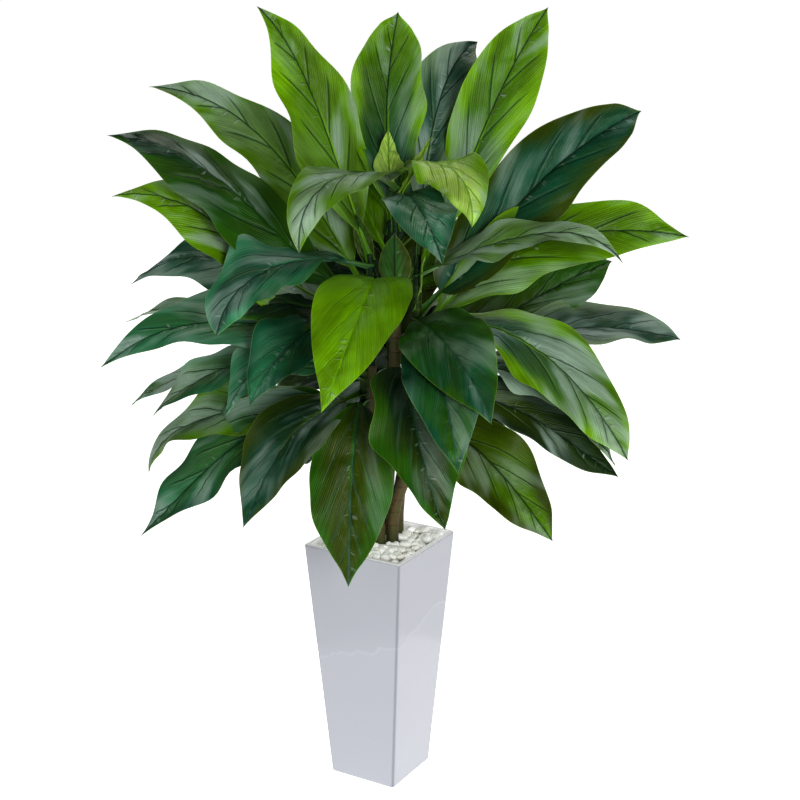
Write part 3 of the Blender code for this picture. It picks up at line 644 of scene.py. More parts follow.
def leaf_material(look):
    """Satin leaf: three tones in soft zones, slanting fibres, dark side veins and creases, with painted
    sheen and highlights and painted shade at the root.
    """
    shader = Shader("cordyline_leaf")
    share, across, under = shader.split(shader.attribute("blade", "Vector"))
    along, aside, inside = shader.split(shader.attribute("metres", "Vector"))
    seed = shader.attribute("body", "Alpha")
    body = shader.attribute("body", "Color")
    margin = shader.attribute("margin", "Color")
    dark = shader.attribute("veins", "Color")
    edge = abs(across)
    aside = abs(aside)
    side = seed + (across > 0) * 0.5
    beat = shader.attribute("vein", "Fac") + side

    lean = aside - along * FIBRE_LEAN
    spread = shader.join(lean, along * 0.40, side * 7)
    zone = shader.cloud(spread, ZONE_SCALE, 2)
    patch = shader.join(lean * 1.5, along * 0.50, side * 5 + 3)
    patch = shader.cloud(patch, PATCH_SCALE, 2)
    mottle = shader.cloud(spread, MOTTLE_SCALE, 3)
    streak = shader.cloud(shader.join(lean * STREAK_SCALE, along * 12, side * 40), 1, 4, 0.62)
    ribs = shader.wave(lean * RIB_SCALE + streak * 0.4)
    fine = shader.wave(lean * FIBRE_SCALE + mottle * 0.4)
    crest = abs(beat.math("FRACT", beat) - 0.5) * -2 + 1

    vein = shader.line(beat, VEIN_WIDTH) * shader.ease(edge, 0.80, 0.50)
    vein = vein * shader.ease(aside, *VEIN_START)
    vein = vein * shader.ease(share, 0.0, 0.06) * shader.ease(share, 0.97, 0.84)
    glint = shader.line(beat - GLINT_LAG, GLINT_WIDTH) * shader.ease(edge, 0.66, 0.40)
    glint = glint * shader.ease(share, 0.9, 0.7)
    rung = shader.join(along * RUNG_SCALE - aside * 50, aside * 26, side * 30)
    rung = shader.cloud(rung, 1, 1)
    rung = shader.ease(rung, 0.56, 0.70) * shader.ease(aside, 0.0010, 0.0030)
    rung = rung * shader.ease(aside, 0.012, 0.0050) * shader.ease(zone, 0.44, 0.58)

    to_margin = shader.ease(edge + (zone - 0.5) * 1.7 + (streak - 0.5) * 0.35, 0.42, 1.0)
    colour = shader.blend(to_margin, body, margin)
    colour = shader.blend(shader.ease(patch, 0.52, 0.36) * OLIVE_SHOW, colour, rgba(look.olive))
    tone = 0.30 + streak * 0.78 + mottle * 0.34 + ribs * 0.08 + fine * 0.04
    # Painted shade: the blade darkens towards its root, where the leaves shade each other
    colour = shader.tint(colour, tone * shader.ease(share, -0.05, 0.32, 0.58, 1.0))
    # Painted sheen: pale patches, strongest on the raised crests between side veins, set for each half of
    # the blade
    sheen_share = shader.attribute("margin", "Alpha")
    sheen_share = sheen_share + (shader.attribute("veins", "Alpha") - sheen_share) * (across > 0)
    sheen_patch = shader.ease(patch + crest * 0.06 + sheen_share * 0.09, 0.55, 0.74) * sheen_share * (0.25 + streak * 1.1)
    sheen_patch = sheen_patch * shader.ease(share, -0.02, 0.12)
    colour = shader.blend(sheen_patch * look.sheen_patch, colour, rgba(look.dust))
    # Painted highlight: a pale line beside each side vein
    colour = shader.blend(glint * (0.06 + sheen_share * 0.20), colour, rgba(look.sage))
    # Painted highlight: pale ticks on the crease rungs beside the midrib
    colour = shader.blend(rung * (0.25 + sheen_share * 0.25), colour, rgba(look.dust))
    colour = shader.blend(vein * VEIN_SHOW, colour, dark)
    strip = shader.ease(aside, *STRIP_EDGE) * shader.ease(share, 0.64, 0.34)
    colour = shader.blend(strip * (STRIP_SHOW + (across > 0) * STRIP_RIGHT_SHOW), colour, margin)
    groove = shader.ease(aside, *GROOVE_EDGE) * shader.ease(share, 0.0, 0.12)
    colour = shader.blend(groove * GROOVE_SHOW, colour, dark)
    rim = shader.ease(inside, *RIM_EDGE)
    colour = shader.blend(rim * RIM_SHOW, colour, rgba(look.pale))
    stalk = shader.ease(share, 0.04, -0.08)
    colour = shader.blend(stalk * STALK_SHOW, colour, rgba(look.green))
    colour = shader.blend(under, colour, shader.tint(colour, 1.10, 0.85))

    pucker = shader.cloud(spread, PUCKER_SCALE, 2) * shader.ease(edge, 0.80, 0.08)
    height = ribs * RIB_HEIGHT + fine * FIBRE_HEIGHT - vein * VEIN_DEPTH
    height = height + pucker * PUCKER_HEIGHT + rung * RUNG_HEIGHT
    return shader.finish(
        {
            "Base Color": colour,
            "Roughness": 0.31 + mottle * 0.14 + under * 0.16,
            "Specular IOR Level": LEAF_GLOSS,
        },
        height,
    )


def pot_material(look):
    """White glaze: glossy, with painted shade on the upright corners, a faint painted reflection line across
    it, and painted light and glow round the mouth.
    """
    shader = Shader("white_glaze")
    place = shader.place()
    drift = shader.cloud(place, DRIFT_SCALE, 2)
    speck = shader.cloud(place, SPECK_SCALE, 2)
    x, y, z = shader.split(place)
    x_out, y_out = abs(x), abs(y)
    wide = z * ((POT_TOP_HALF - POT_BASE_HALF) / POT_HEIGHT) + POT_BASE_HALF
    inset = wide - x_out.math("MINIMUM", x_out, y_out)
    # Painted shade: a grey line down each upright corner
    corner_shade = shader.ease(inset, *CORNER_SHADE_REACH)
    depth = wide - x_out.math("MAXIMUM", x_out, y_out)
    # Painted light: the rim's top and the inside take the whiter mouth tone
    mouth = shader.ease(z, *(POT_HEIGHT - below for below in LIT_BELOW))
    mouth = mouth.math("MAXIMUM", mouth, shader.ease(depth, *LIT_INSIDE))
    # Painted reflection: a faint wavy line across the glaze, lighter below it, with a lighter band along its
    # lower side
    run = z - REFLECTION_LINE_HEIGHT - x * REFLECTION_LINE_RISE[0] - y * REFLECTION_LINE_RISE[1]
    run = run + (shader.cloud(place, SWAY_SCALE, 3) - 0.5) * REFLECTION_LINE_SWAY
    tone = 0.975 + drift * 0.03 + shader.ease(run, 0.0008, -0.0008) * 0.03
    colour = shader.tint(rgba(look.glaze), tone)
    reflection_band = shader.ease(run, -0.006, 0.0) * shader.ease(run, 0.0016, 0.0)
    colour = shader.tint(colour, 1.0 + reflection_band * 0.07)
    colour = shader.blend(corner_shade * 0.50, colour, rgba(look.corner_shade))
    colour = shader.blend(mouth, colour, rgba(look.mouth))
    return shader.finish(
        {
            "Base Color": colour,
            "Roughness": look.roughness + speck * 0.03,
            "Coat Weight": 0.4,
            "Coat Roughness": 0.04,
            # Painted glow: the mouth's whiter tone gives off light
            "Emission Color": shader.blend(mouth, (0, 0, 0, 1), rgba(look.mouth)),
            "Emission Strength": look.lift,
        },
        drift * DRIFT_HEIGHT + speck * SPECK_HEIGHT,
    )


def pebble_material(look):
    """River stones: chalky white to cream, with faint veins and pits, painted shade on their low sides and
    between them, and a painted glow.
    """
    shader = Shader("river_pebble")
    place = shader.place()
    tint = shader.attribute("tint", "Fac")
    mottle = shader.cloud(place, PIT_SCALE, 4)
    vein = shader.cloud(place, STAIN_SCALE, 3)
    colour = shader.blend(tint, rgba(look.white), rgba(look.cream))
    colour = shader.blend(shader.ease(vein, 0.56, 0.72) * 0.35, colour, rgba(look.cream))
    # Painted shade: each stone turns greyer and darker towards its low side, and the bed fully, where the
    # crevices are
    crevice = shader.ease(shader.attribute("rise", "Fac"), *CREVICE_RISE)
    shade = (0.94 + mottle * 0.12) * (1 - crevice * 0.72)
    colour = shader.blend(crevice * 0.8, colour, rgba(look.crevice_shade))
    colour = shader.tint(colour, shade)
    return shader.finish(
        {
            "Base Color": colour,
            "Roughness": 0.42 + mottle * 0.2,
            # Painted glow: the stones' own colour gives off light
            "Emission Color": colour,
            "Emission Strength": look.lift,
        },
        mottle * PIT_DEPTH + shader.cloud(place, GRIT_SCALE, 2) * GRIT_DEPTH,
    )


def cane_material(look):
    """Bark: olive brown, nearly smooth, with faint rings, and green collars near the pebbles."""
    shader = Shader("cane_bark")
    ring, turn, along = shader.split(shader.attribute("cane", "Vector"))
    place = shader.place()
    circle = [shader.wave(turn + start) * GRAIN_ROUND for start in (0, 0.25)]
    grain = shader.cloud(shader.join(along * GRAIN_ALONG, *circle), GRAIN_SCALE, 4)
    mottle = shader.cloud(place, BARK_SCALE, 3)
    scar = shader.line(ring, SCAR_WIDTH)
    colour = shader.blend(shader.ease(mottle, 0.38, 0.62), rgba(look.bark), rgba(look.moss))
    colour = shader.tint(colour, 0.70 + grain * 0.6)
    colour = shader.blend(scar * 0.45, colour, rgba(look.scar))
    collar = shader.ease(along + mottle * 0.03, look.collar + 0.030, look.collar + 0.005)
    colour = shader.blend(collar * 0.8, colour, rgba(look.green))
    return shader.finish(
        {
            "Base Color": colour,
            "Roughness": 0.45 + mottle * 0.2,
        },
        grain * 0.0006 - scar * 0.0005 + mottle * 0.0004,
    )


def soil_material(look):
    """Dark potting fill."""
    shader = Shader("potting_fill")
    clod = shader.cloud(shader.place(), CLOD_SCALE, 5, 0.65)
    colour = shader.blend(clod, rgba(look.damp), rgba(look.crumb))
    values = {"Base Color": colour, "Roughness": 0.80 + clod * 0.18}
    return shader.finish(values, clod * CLOD_HEIGHT)


def floor_material(look):
    """Lit white floor, brightest in an uneven pool round the pot."""
    shader = Shader("studio_floor")
    place = shader.place()
    drift = shader.cloud(place, POOL_SCALE, 3)
    away = shader.add("ShaderNodeVectorMath", {"operation": "LENGTH"}, {0: place}, "Value")
    # Painted light: the floor's own glow is stronger in a pool round the pot, which washes out its shadow
    pool = shader.ease(away + drift * POOL_SWAY, POOL_RADIUS, POOL_RADIUS + POOL_EDGE)
    glow = shader.blend(pool, rgba((1, 1, 1)), rgba([FAR_GLOW] * 3))
    return shader.finish(
        {
            "Base Color": shader.tint(rgba(look.floor), 0.98 + drift * 0.03),
            "Roughness": 0.7,
            "Emission Color": glow,
            "Emission Strength": look.floor_glow,
        }
    )


def add_object(name, data):
    """Puts a mesh, lamp or camera into the scene."""
    thing = bpy.data.objects.new(name, data)
    bpy.context.scene.collection.objects.link(thing)
    return thing


def aim(thing, place, target):
    """Stands a lamp or camera at a place and turns it to a target."""
    thing.location = place
    thing.rotation_euler = (Vector(target) - Vector(place)).to_track_quat("-Z", "Y").to_euler()


def add_piece(name, bm, material, slot, *nodes):
    """Turns a bmesh in the CAD's frame into a finished piece that stands for CAD nodes."""
    mesh = bpy.data.meshes.new(name)
    bm.to_mesh(mesh)
    bm.free()
    mesh.shade_smooth()
    mesh.set_sharp_from_angle(angle=SHARP_EDGE)
    mesh.materials.append(material)
    piece = add_object(name, mesh)
    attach(piece, BODY)
    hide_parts(*nodes)
    return piece


def heading(bearing, rise):
    """The direction on a bearing, raised by an angle; both in degrees."""
    bearing, rise = radians(bearing), radians(rise)
    return np.array([cos(bearing) * cos(rise), sin(bearing) * cos(rise), sin(rise)])


def blade_width(share, belly, point):
    """Share of the blade's full width, along the blade."""
    swell = point * belly / (1 - belly)
    share = np.clip(share, 0, 1)
    return share**swell * (1 - share) ** point / (belly**swell * (1 - belly) ** point)


def leaf_midrib(leaf, along):
    """A leaf's midrib in the plant's frame: its points, its sideways and facing directions,
    the share of its length travelled, and that length."""
    root = np.array([*HEADS[leaf.head].top, leaf.at])
    tip = root + heading(leaf.bearing, 0) * leaf.reach + np.array([0, 0, leaf.tip - leaf.at])
    length = np.linalg.norm(tip - root)
    first = root + heading(leaf.bearing + leaf.curl, leaf.rise) * length * leaf.hold[0]
    last = tip - heading(leaf.bearing - leaf.curl, -leaf.fall) * length * leaf.hold[1]

    def rib(u):
        u = u[..., None]
        return (1 - u) ** 3 * root + 3 * (1 - u) ** 2 * u * first + 3 * (1 - u) * u**2 * last + u**3 * tip

    steps = np.linspace(0, 1, RIB_STEPS)
    lengths = np.concatenate([[0], np.cumsum(np.linalg.norm(np.diff(rib(steps), axis=0), axis=1))])
    travelled = np.interp(along, steps, lengths / lengths[-1])
    u = along[..., None]
    run = 3 * (1 - u) ** 2 * (first - root) + 6 * (1 - u) * u * (last - first) + 3 * u**2 * (tip - last)
    run = run / np.linalg.norm(run, axis=-1, keepdims=True)
    level = heading(leaf.bearing - 90, 0)
    side = level - (run @ level)[..., None] * run
    side = side / np.linalg.norm(side, axis=-1, keepdims=True)
    face = np.cross(side, run)
    roll = np.radians(leaf.roll[0] + (leaf.roll[1] - leaf.roll[0]) * travelled)[..., None]
    side, face = side * np.cos(roll) - face * np.sin(roll), face * np.cos(roll) + side * np.sin(roll)
    return rib(along), side, face, travelled, lengths[-1]


def leaf_skin(leaf, look, along, beside):
    """The closed skin of one leaf. beside runs round it: 0 is the midrib on top, 1 and -1 the
    margins, 2 and -2 the midrib beneath. Returns the points and what the material reads."""
    top = np.abs(beside) <= 1
    edge = np.where(top, np.abs(beside), 2 - np.abs(beside)) ** COLUMN_BIAS
    across = edge * np.sign(beside)
    phase = leaf.phase
    points, side, face, travelled, length = leaf_midrib(leaf, along)
    blade = (travelled - STALK_SHARE) / (1 - STALK_SHARE)
    swell = blade_width(blade, leaf.belly, leaf.point)
    pinch = TIP_PINCH * np.exp(-(((blade - PINCH_AT) / PINCH_SPAN) ** 2))
    unrest = float(smooth(leaf.wave, CALM_WAVE, FULL_WAVE))
    turns = OUTLINE_BEATS * blade + OUTLINE_PHASE * phase + np.where(across > 0, OUTLINE_STEP, 0)
    swing = OUTLINE_SWING * unrest * np.sin(tau * turns)
    half = np.maximum(0.5 * leaf.width * swell, np.where(travelled < STALK_END, STALK_HALF, 0))
    half = half * (1 - pinch) * (1 + swing * smooth(blade, *SWING_START))
    half = half * smooth(1 - blade, 0, TIP_SHARE) ** np.clip(TIP_POINT - leaf.point, 0, 0.6)
    stalk = 1 - smooth(blade, *STALK_BLEND)
    half = half + CLASP_HALF * np.exp(-travelled / CLASP_SHARE)
    aside = half * edge

    trough = half * np.tan(radians(leaf.fold)) * (edge - FOLD_EASE * edge**2)
    beat = WAVES * blade + phase + np.where(across > 0, WAVE_STEP, 0)
    lash = WAVE_GAIN * leaf.wave * swell
    overwave = OVERWAVE * np.sin(tau * (OVERWAVE_BEATS * beat + 0.3))
    sheet = trough + lash * edge**1.5 * (np.sin(tau * beat) + overwave)
    sheet += half * STALK_CHANNEL * edge**2 * stalk
    sheet += look.ripple * swell * edge**3 * np.sin(tau * (EDGE_BEATS * blade + 3 * phase) + across)
    vein = (travelled * length - aside * VEIN_LEAN) / (VEIN_PITCH * length)
    slant = vein + phase % 1 + np.where(across > 0, 0.5, 0)
    inward = smooth(edge, *PILLOW_EDGE) * smooth(aside, *PILLOW_START) * (1 - stalk)
    sheet += look.pillow * (np.sqrt(np.abs(np.sin(pi * slant))) - 0.6) * inward
    ahead = travelled * length + aside * CREASE_LEAN
    depth = np.full_like(aside, phase * CREASE_APART)
    spots = np.stack([ahead, half * across * CREASE_STRETCH, depth], axis=1)
    crease = np.array([noise.noise(Vector(spot * CREASE_SCALE)) for spot in spots])
    sheet += look.crease * crease * smooth(edge, *CREASE_EDGE) * (1 - stalk)
    sheet -= look.groove * np.exp(-((aside / GROOVE_HALF) ** 2)) * (1 - stalk) * smooth(blade, 1.0, 0.7)

    ends = np.sqrt(smooth(travelled, 0, 0.02)) * np.sqrt(smooth(travelled, 1, 0.97))
    thick = look.thickness + (look.stalk - look.thickness) * stalk
    keel = look.thickness * KEEL_HEIGHT * np.exp(-((aside / KEEL_HALF) ** 2)) * smooth(blade, 1.0, 0.2)
    lens = np.sqrt(np.clip(1 - edge**4, 0, 1)) * ends
    lift = np.where(top, 0.5 * thick * lens, -(0.5 * thick + keel) * lens)
    skin = points + side * (half * across)[..., None] + face * (sheet + lift)[..., None]
    facts = np.stack([blade, across, np.where(top, 0.0, 1.0)], axis=-1)
    metres = np.stack([travelled * length, half * across, half * (1 - edge)], axis=-1)
    return skin, facts, metres, vein


def leaf_layers(bm):
    """The layers that the leaf's material reads: two places and three colours."""
    layers = bm.verts.layers
    places = [layers.float_vector[name] for name in PLACE_LAYERS]
    return places + [layers.float_color[name] for name in COLOUR_LAYERS]


def add_leaf(bm, leaf, look):
    """Adds one leaf to a head's bmesh: a grid wrapped into a closed skin."""
    sheet = bmesh.ops.create_grid(bm, x_segments=LEAF_ROWS, y_segments=4 * HALF_COLUMNS, size=1)["verts"]
    along = np.array([(vert.co.x + 1) / 2 for vert in sheet])
    along = along - END_CROWDING * np.sin(tau * along) / tau
    beside = np.array([vert.co.y * 2 for vert in sheet])
    skin, facts, metres, veins = leaf_skin(leaf, look, along, beside)
    tones = [*leaf.tones.split(), USUAL_VEIN][:TONES]
    root, tip, margin, dark = (Vector(rgba(getattr(look, tone))) for tone in tones)
    # The margin and vein layers carry in their alpha how strongly painted sheen shows on each half
    margin.w, dark.w = leaf.dust
    blade_layer, metres_layer, body_layer, margin_layer, dark_layer = leaf_layers(bm)
    vein_layer = bm.verts.layers.float["vein"]
    to_tip = smooth(facts[:, 0], 0.15, 0.95)
    for vert, spot, fact, metre, vein, share in zip(sheet, skin, facts, metres, veins, to_tip):
        vert.co = Vector(spot)
        vert[blade_layer] = Vector(fact)
        vert[metres_layer] = Vector(metre)
        vert[vein_layer] = vein
        body = root.lerp(tip, float(share))
        body.w = leaf.phase % 1
        vert[body_layer] = body
        vert[margin_layer] = margin
        vert[dark_layer] = dark
    bmesh.ops.remove_doubles(bm, verts=sheet, dist=MERGE)
    left = [vert for vert in sheet if vert.is_valid]
    faces = list({face for vert in left for face in vert.link_faces})
    bmesh.ops.recalc_face_normals(bm, faces=faces)


def add_ringed_rod(bm, sides, rings):
    """Adds an upright rod of unit radius and height, cut into rings, to an empty bmesh."""
    bmesh.ops.create_cone(
        bm, cap_ends=True, segments=sides, radius1=1, radius2=1, depth=1,
        matrix=Matrix.Translation((0, 0, 0.5)),
    )
    uprights = [e for e in bm.edges if abs(e.verts[0].co.z - e.verts[1].co.z) > 0.5]
    bmesh.ops.subdivide_edges(bm, edges=uprights, cuts=rings, use_grid_fill=True)


def add_sheath(bm, head, look):
    """Starts a head's bmesh with the sheath that its leaves clasp, ridged like its leaf bases."""
    tall = head.sheath_to - head.sheath_from
    add_ringed_rod(bm, SHEATH_SIDES, SHEATH_RINGS)
    blade_layer, metres_layer, body_layer, margin_layer, dark_layer = leaf_layers(bm)
    for vert in bm.verts:
        share = vert.co.z
        ring = (share * tall / SHEATH_PITCH) % 1
        radius = SHEATH_RADIUS + (head.tip_radius - SHEATH_RADIUS) * share
        radius *= SHEATH_NECK + SHEATH_SWELL * ring**2
        turn = Vector((vert.co.x, vert.co.y, 0)) * radius
        vert.co = Vector((head.top[0], head.top[1], head.sheath_from + tall * share)) + turn
        vert[body_layer] = Vector((*look.dark, 0.3))
        vert[margin_layer] = Vector((*look.olive, 0))
        vert[dark_layer] = Vector((*look.vein, 0))
        vert[blade_layer] = Vector((0.4, 0.4 + 0.3 * ring, 0))
        vert[metres_layer] = Vector((share * tall, 0.02, 0.02))


def build_foliage(name, head, look, material):
    """A head's sheath and leaves, as one piece."""
    bm = bmesh.new()
    for layer in PLACE_LAYERS:
        bm.verts.layers.float_vector.new(layer)
    for layer in COLOUR_LAYERS:
        bm.verts.layers.float_color.new(layer)
    bm.verts.layers.float.new("vein")
    add_sheath(bm, head, look)
    for leaf in LEAVES:
        if leaf.head == name:
            add_leaf(bm, leaf, look)
    bm.transform(Matrix.Rotation(PLANT_TURN, 4, "Z"))
    return add_piece(name + "_foliage", bm, material, "leaf", name + "_leaves")


def cane_path(head, height):
    """Where a cane's middle is at a height, in the plant's frame."""
    top = head.sheath_from - GAP - CANE_TOP_STRAIGHT
    share = float(smooth(height, CANE_STRAIGHT, top))
    return Vector((*head.foot, 0)).lerp(Vector((*head.top, 0)), share) + Vector((0, 0, height))


def build_cane(name, head, look, material):
    """A cane with swollen ring scars, from inside the fill up to its sheath."""
    bm = bmesh.new()
    add_ringed_rod(bm, CANE_SIDES, CANE_RINGS)
    layer = bm.verts.layers.float_vector.new("cane")
    top = head.sheath_from - GAP
    tall = top - CANE_FOOT
    offset = Vector((*head.foot, 0)) * CANE_SPACING
    for vert in bm.verts:
        share = vert.co.z
        height = CANE_FOOT + tall * share
        drift = SCAR_DRIFT * noise.noise(offset + Vector((0, 0, share * DRIFT_BEATS)))
        ring = share * tall / SCAR_PITCH + drift
        near = abs(ring % 1 - 0.5) * 2
        radius = look.radius + (look.top_radius - look.radius) * share
        lump = noise.noise(offset + Vector((vert.co.x, vert.co.y, share * LUMP_BEATS)))
        radius *= CANE_NECK + SCAR_SWELL * near**SCAR_SHARPNESS + CANE_LUMP * lump
        turn = Vector((vert.co.x, vert.co.y, 0))
        vert[layer] = Vector((ring, np.arctan2(turn.y, turn.x) / tau, share * tall))
        vert.co = cane_path(head, height) + turn * radius
    bm.transform(Matrix.Rotation(PLANT_TURN, 4, "Z"))
    return add_piece(name + "_stem", bm, material, "cane", name + "_cane")


def pot_half(height):
    """Half the pot's outer width at a height."""
    return POT_BASE_HALF + (POT_TOP_HALF - POT_BASE_HALF) * height / POT_HEIGHT


def pot_edges(bm, kind):
    """The pot's edges of one kind: whether they are upright, outside and high up. Of the level
    ones, only those between a level face and a steep one count."""
    bm.normal_update()
    found = []
    for edge in bm.edges:
        first, second = edge.verts
        upright = abs(first.co.z - second.co.z) > POT_HEIGHT / 2
        steep = sorted(abs(face.normal.z) < STEEP for face in edge.link_faces)
        outside = max(abs(first.co.x), abs(first.co.y)) > pot_half(first.co.z) - POT_WALL / 2
        high = upright or first.co.z > POT_HEIGHT / 2
        if [upright, outside, high] == kind and (upright or steep == [False, True]):
            found.append(edge)
    return found


def build_pot(look):
    """A tapered square shell: a block, its top inset and sunk, and its corners and rims rounded."""
    bm = bmesh.new()
    bmesh.ops.create_cube(bm, size=2)
    for vert in bm.verts:
        height = POT_HEIGHT if vert.co.z > 0 else 0
        half = pot_half(height)
        vert.co = Vector((vert.co.x * half, vert.co.y * half, height))
    top = max(bm.faces, key=lambda face: face.calc_center_median().z)
    bmesh.ops.inset_region(bm, faces=[top], thickness=POT_WALL, depth=0, use_even_offset=True)
    sunk = bmesh.ops.extrude_face_region(bm, geom=[top])["geom"]
    bmesh.ops.delete(bm, geom=[top], context="FACES_ONLY")
    floor = [item for item in sunk if isinstance(item, bmesh.types.BMVert)]
    narrow = (pot_half(POT_FLOOR) - POT_WALL) / (pot_half(POT_HEIGHT) - POT_WALL)
    bmesh.ops.scale(bm, vec=(narrow, narrow, 1), verts=floor)
    bmesh.ops.translate(bm, vec=(0, 0, POT_FLOOR - POT_HEIGHT), verts=floor)
    for *kind, radius in POT_ROUNDINGS.values():
        bmesh.ops.bevel(
            bm, geom=pot_edges(bm, kind), offset=radius, offset_type="OFFSET",
            segments=BEVEL_STEPS, profile=0.5, affect="EDGES", material=-1, clamp_overlap=True,
        )
    bmesh.ops.recalc_face_normals(bm, faces=bm.faces)
    pot = add_piece("glazed_pot", bm, pot_material(look), "pot_glaze", "pot")
    flat = pot.modifiers.new("even_shading", "WEIGHTED_NORMAL")
    flat.keep_sharp = True
    return pot


def pebble_spots(rng, count, pitch, half, radius):
    """Spots over the pot's mouth, evened out by pushing neighbours apart and off the canes."""
    turn = Matrix.Rotation(PLANT_TURN, 2)
    canes = [np.array(turn @ Vector(head.foot)) for head in HEADS.values()]
    spots = rng.uniform(-half, half, (count, 2))
    for _ in range(SPREAD_ROUNDS):
        gaps = spots[:, None] - spots[None]
        away = np.linalg.norm(gaps, axis=2) + np.eye(count) * pitch
        push = np.clip(pitch - away, 0, None) / away
        spots = spots + SPREAD_PUSH * (gaps * push[..., None]).sum(axis=1)
        for cane in canes:
            off = spots - cane
            reach = np.linalg.norm(off, axis=1, keepdims=True)
            spots = np.where(reach < radius, cane + off / reach * radius, spots)
        spots = np.clip(spots, -half, half)
    return spots


def add_stone(bm, rng, spot, height, half_length, faces, layers):
    """Adds one lumpy river stone."""
    tint, rise = layers
    stone = bmesh.ops.create_icosphere(bm, subdivisions=faces, radius=1)["verts"]
    offset = Vector(rng.uniform(-NOISE_REACH, NOISE_REACH, 3))
    size = half_length * np.array([1, rng.uniform(*STONE_BREADTH), rng.uniform(*STONE_THICKNESS)])
    turn = Matrix.Rotation(rng.uniform(0, tau), 4, "Z")
    tilt = Matrix.Rotation(rng.uniform(-STONE_TILT, STONE_TILT), 4, "Y")
    place = Matrix.Translation((*spot, height)) @ turn @ tilt @ Matrix.Diagonal((*size, 1))
    shade = rng.uniform(0, 1) ** 2
    for vert in stone:
        vert.co *= 1 + STONE_LUMP * noise.noise(vert.co * LUMP_SCALE + offset)
        vert[tint] = shade
    bmesh.ops.transform(bm, matrix=place, verts=stone)
    for vert in stone:
        vert[rise] = (vert.co.z - height) / half_length


def build_pebbles(look):
    """Two layers of stones between the canes, over a shallow bed."""
    rng = np.random.default_rng(PEBBLE_SEED)
    bm = bmesh.new()
    layers = bm.verts.layers.float.new("tint"), bm.verts.layers.float.new("rise")
    inner = pot_half(POT_HEIGHT) - POT_WALL
    bed = bmesh.ops.create_cube(bm, size=2)["verts"]
    low, high = SOIL_TOP + GAP, SOIL_TOP + BED_HEIGHT
    for vert in bed:
        level = high if vert.co.z > 0 else low
        half = pot_half(level) - POT_WALL - GAP
        vert.co = Vector((vert.co.x * half, vert.co.y * half, level))
        vert[bm.verts.layers.float["rise"]] = BED_RISE
    beds = (
        (look.deep_count, DEEP_SHARE, DEEP_MARGIN * look.smallest, DEEP_HEIGHTS, DEEP_STONE_FACES),
        (look.count, 1, look.largest, STONE_HEIGHTS, STONE_FACES),
    )
    for count, share, margin, heights, faces in beds:
        for spot in pebble_spots(rng, count, look.pitch * share, inner - margin, CANE_ROOM):
            size = rng.uniform(look.smallest, look.largest) * share
            add_stone(bm, rng, spot, SOIL_TOP + rng.uniform(*heights), size, faces, layers)
    return add_piece("pebble_stones", bm, pebble_material(look), "pebbles", "pebbles")


def add_softbox(name, place, size, power):
    """A square area light that faces the plant."""
    light = bpy.data.lights.new(name, "AREA")
    light.shape = "SQUARE"
    light.size = size
    light.energy = power
    lamp = add_object(name, light)
    lamp.visible_camera = False
    aim(lamp, place, LIT_POINT)


class CORDYLINE_OT_leaves(Operator):
    """Builds the leaves and sheath of every head"""

    bl_idname = "cordyline.leaves"
    bl_label = "Leaves"

    def execute(self, context):
        look = context.scene.cordyline.leaf
        material = leaf_material(look)
        for name, head in HEADS.items():
            build_foliage(name, head, look, material)
        return {"FINISHED"}


class CORDYLINE_OT_canes(Operator):
    """Builds the six canes"""

    bl_idname = "cordyline.canes"
    bl_label = "Canes"

    def execute(self, context):
        look = context.scene.cordyline.cane
        material = cane_material(look)
        for name, head in HEADS.items():
            build_cane(name, head, look, material)
        return {"FINISHED"}


class CORDYLINE_OT_pot(Operator):
    """Builds the glazed pot"""

    bl_idname = "cordyline.pot"
    bl_label = "Pot"

    def execute(self, context):
        build_pot(context.scene.cordyline.pot)
        return {"FINISHED"}


class CORDYLINE_OT_pebbles(Operator):
    """Builds the pebbles in the pot's mouth"""

    bl_idname = "cordyline.pebbles"
    bl_label = "Pebbles"

    def execute(self, context):
        build_pebbles(context.scene.cordyline.pebble)
        return {"FINISHED"}


class CORDYLINE_OT_soil(Operator):
    """Finishes the fill under the pebbles"""

    bl_idname = "cordyline.soil"
    bl_label = "Soil"

    def execute(self, context):
        material = soil_material(context.scene.cordyline.soil)
        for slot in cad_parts["soil"].material_slots:
            slot.material = material
        return {"FINISHED"}


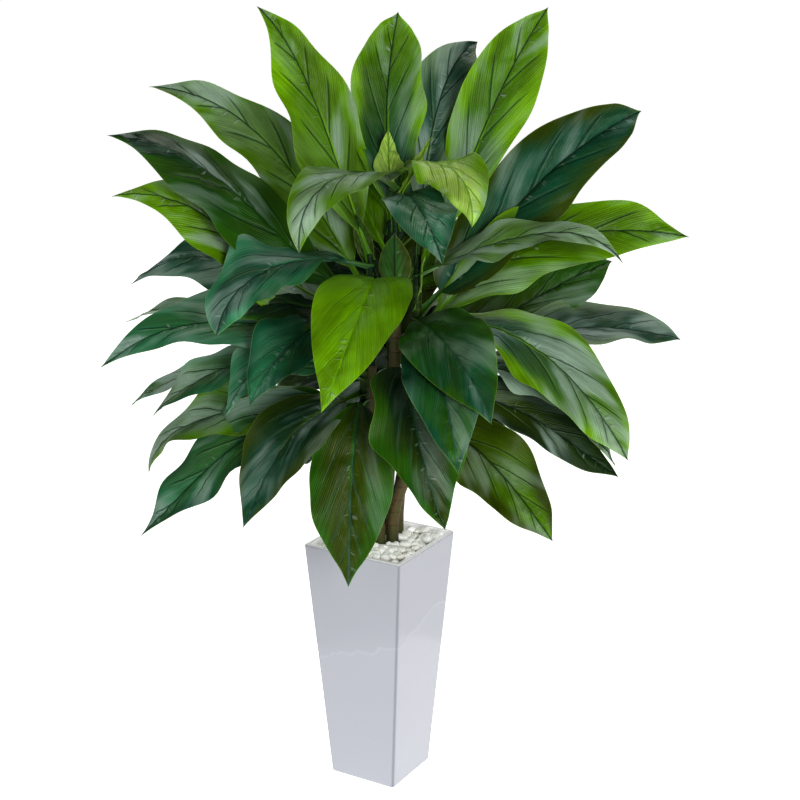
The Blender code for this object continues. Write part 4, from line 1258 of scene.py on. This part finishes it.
class CORDYLINE_OT_stage(Operator):
    """Sets the floor, the light and the camera"""

    bl_idname = "cordyline.stage"
    bl_label = "Stage"

    def execute(self, context):
        look = context.scene.cordyline.studio
        scene = context.scene
        bm = bmesh.new()
        bmesh.ops.create_grid(bm, x_segments=1, y_segments=1, size=FLOOR_HALF)
        mesh = bpy.data.meshes.new("studio_floor")
        bm.to_mesh(mesh)
        bm.free()
        mesh.materials.append(floor_material(look))
        floor = add_object("studio_floor", mesh)

        world = bpy.data.worlds.new("studio_light")
        world.use_nodes = True
        sky = world.node_tree.nodes["Background"]
        sky.inputs["Color"].default_value = (1, 1, 1, 1)
        sky.inputs["Strength"].default_value = look.sky
        scene.world = world
        for name, (place, size, power) in SOFTBOXES.items():
            add_softbox(name, place, size, power * look.softboxes)

        lens = bpy.data.cameras.new("camera")
        lens.lens = CAMERA_LENS
        lens.sensor_width = CAMERA_SENSOR
        scene.camera = add_object("camera", lens)
        aim(scene.camera, CAMERA_PLACE, CAMERA_TARGET)
        scene.view_settings.view_transform = "Standard"
        scene.view_settings.gamma = VIEW_GAMMA
        return {"FINISHED"}


class CORDYLINE_PT_panel(Panel):
    """Lists the steps that build the plant"""

    bl_idname = "CORDYLINE_PT_panel"
    bl_label = "Potted Cordyline"
    bl_space_type = "VIEW_3D"
    bl_region_type = "UI"
    bl_category = "Cordyline"

    def draw(self, context):
        for step in OPERATORS:
            self.layout.operator(step.bl_idname)


OPERATORS = (
    CORDYLINE_OT_leaves,
    CORDYLINE_OT_canes,
    CORDYLINE_OT_pot,
    CORDYLINE_OT_pebbles,
    CORDYLINE_OT_soil,
    CORDYLINE_OT_stage,
)
CLASSES = (
    LeafLook, PotLook, PebbleLook, CaneLook, SoilLook, StudioLook, CordylineLook,
    *OPERATORS, CORDYLINE_PT_panel,
)


def register():
    for item in CLASSES:
        bpy.utils.register_class(item)
    bpy.types.Scene.cordyline = PointerProperty(type=CordylineLook)


def unregister():
    del bpy.types.Scene.cordyline
    for item in reversed(CLASSES):
        bpy.utils.unregister_class(item)


def main():
    register()
    bpy.ops.cordyline.stage()
    bpy.ops.cordyline.pot()
    bpy.ops.cordyline.soil()
    bpy.ops.cordyline.pebbles()
    bpy.ops.cordyline.canes()
    bpy.ops.cordyline.leaves()


if __name__ == "__main__":
    main()
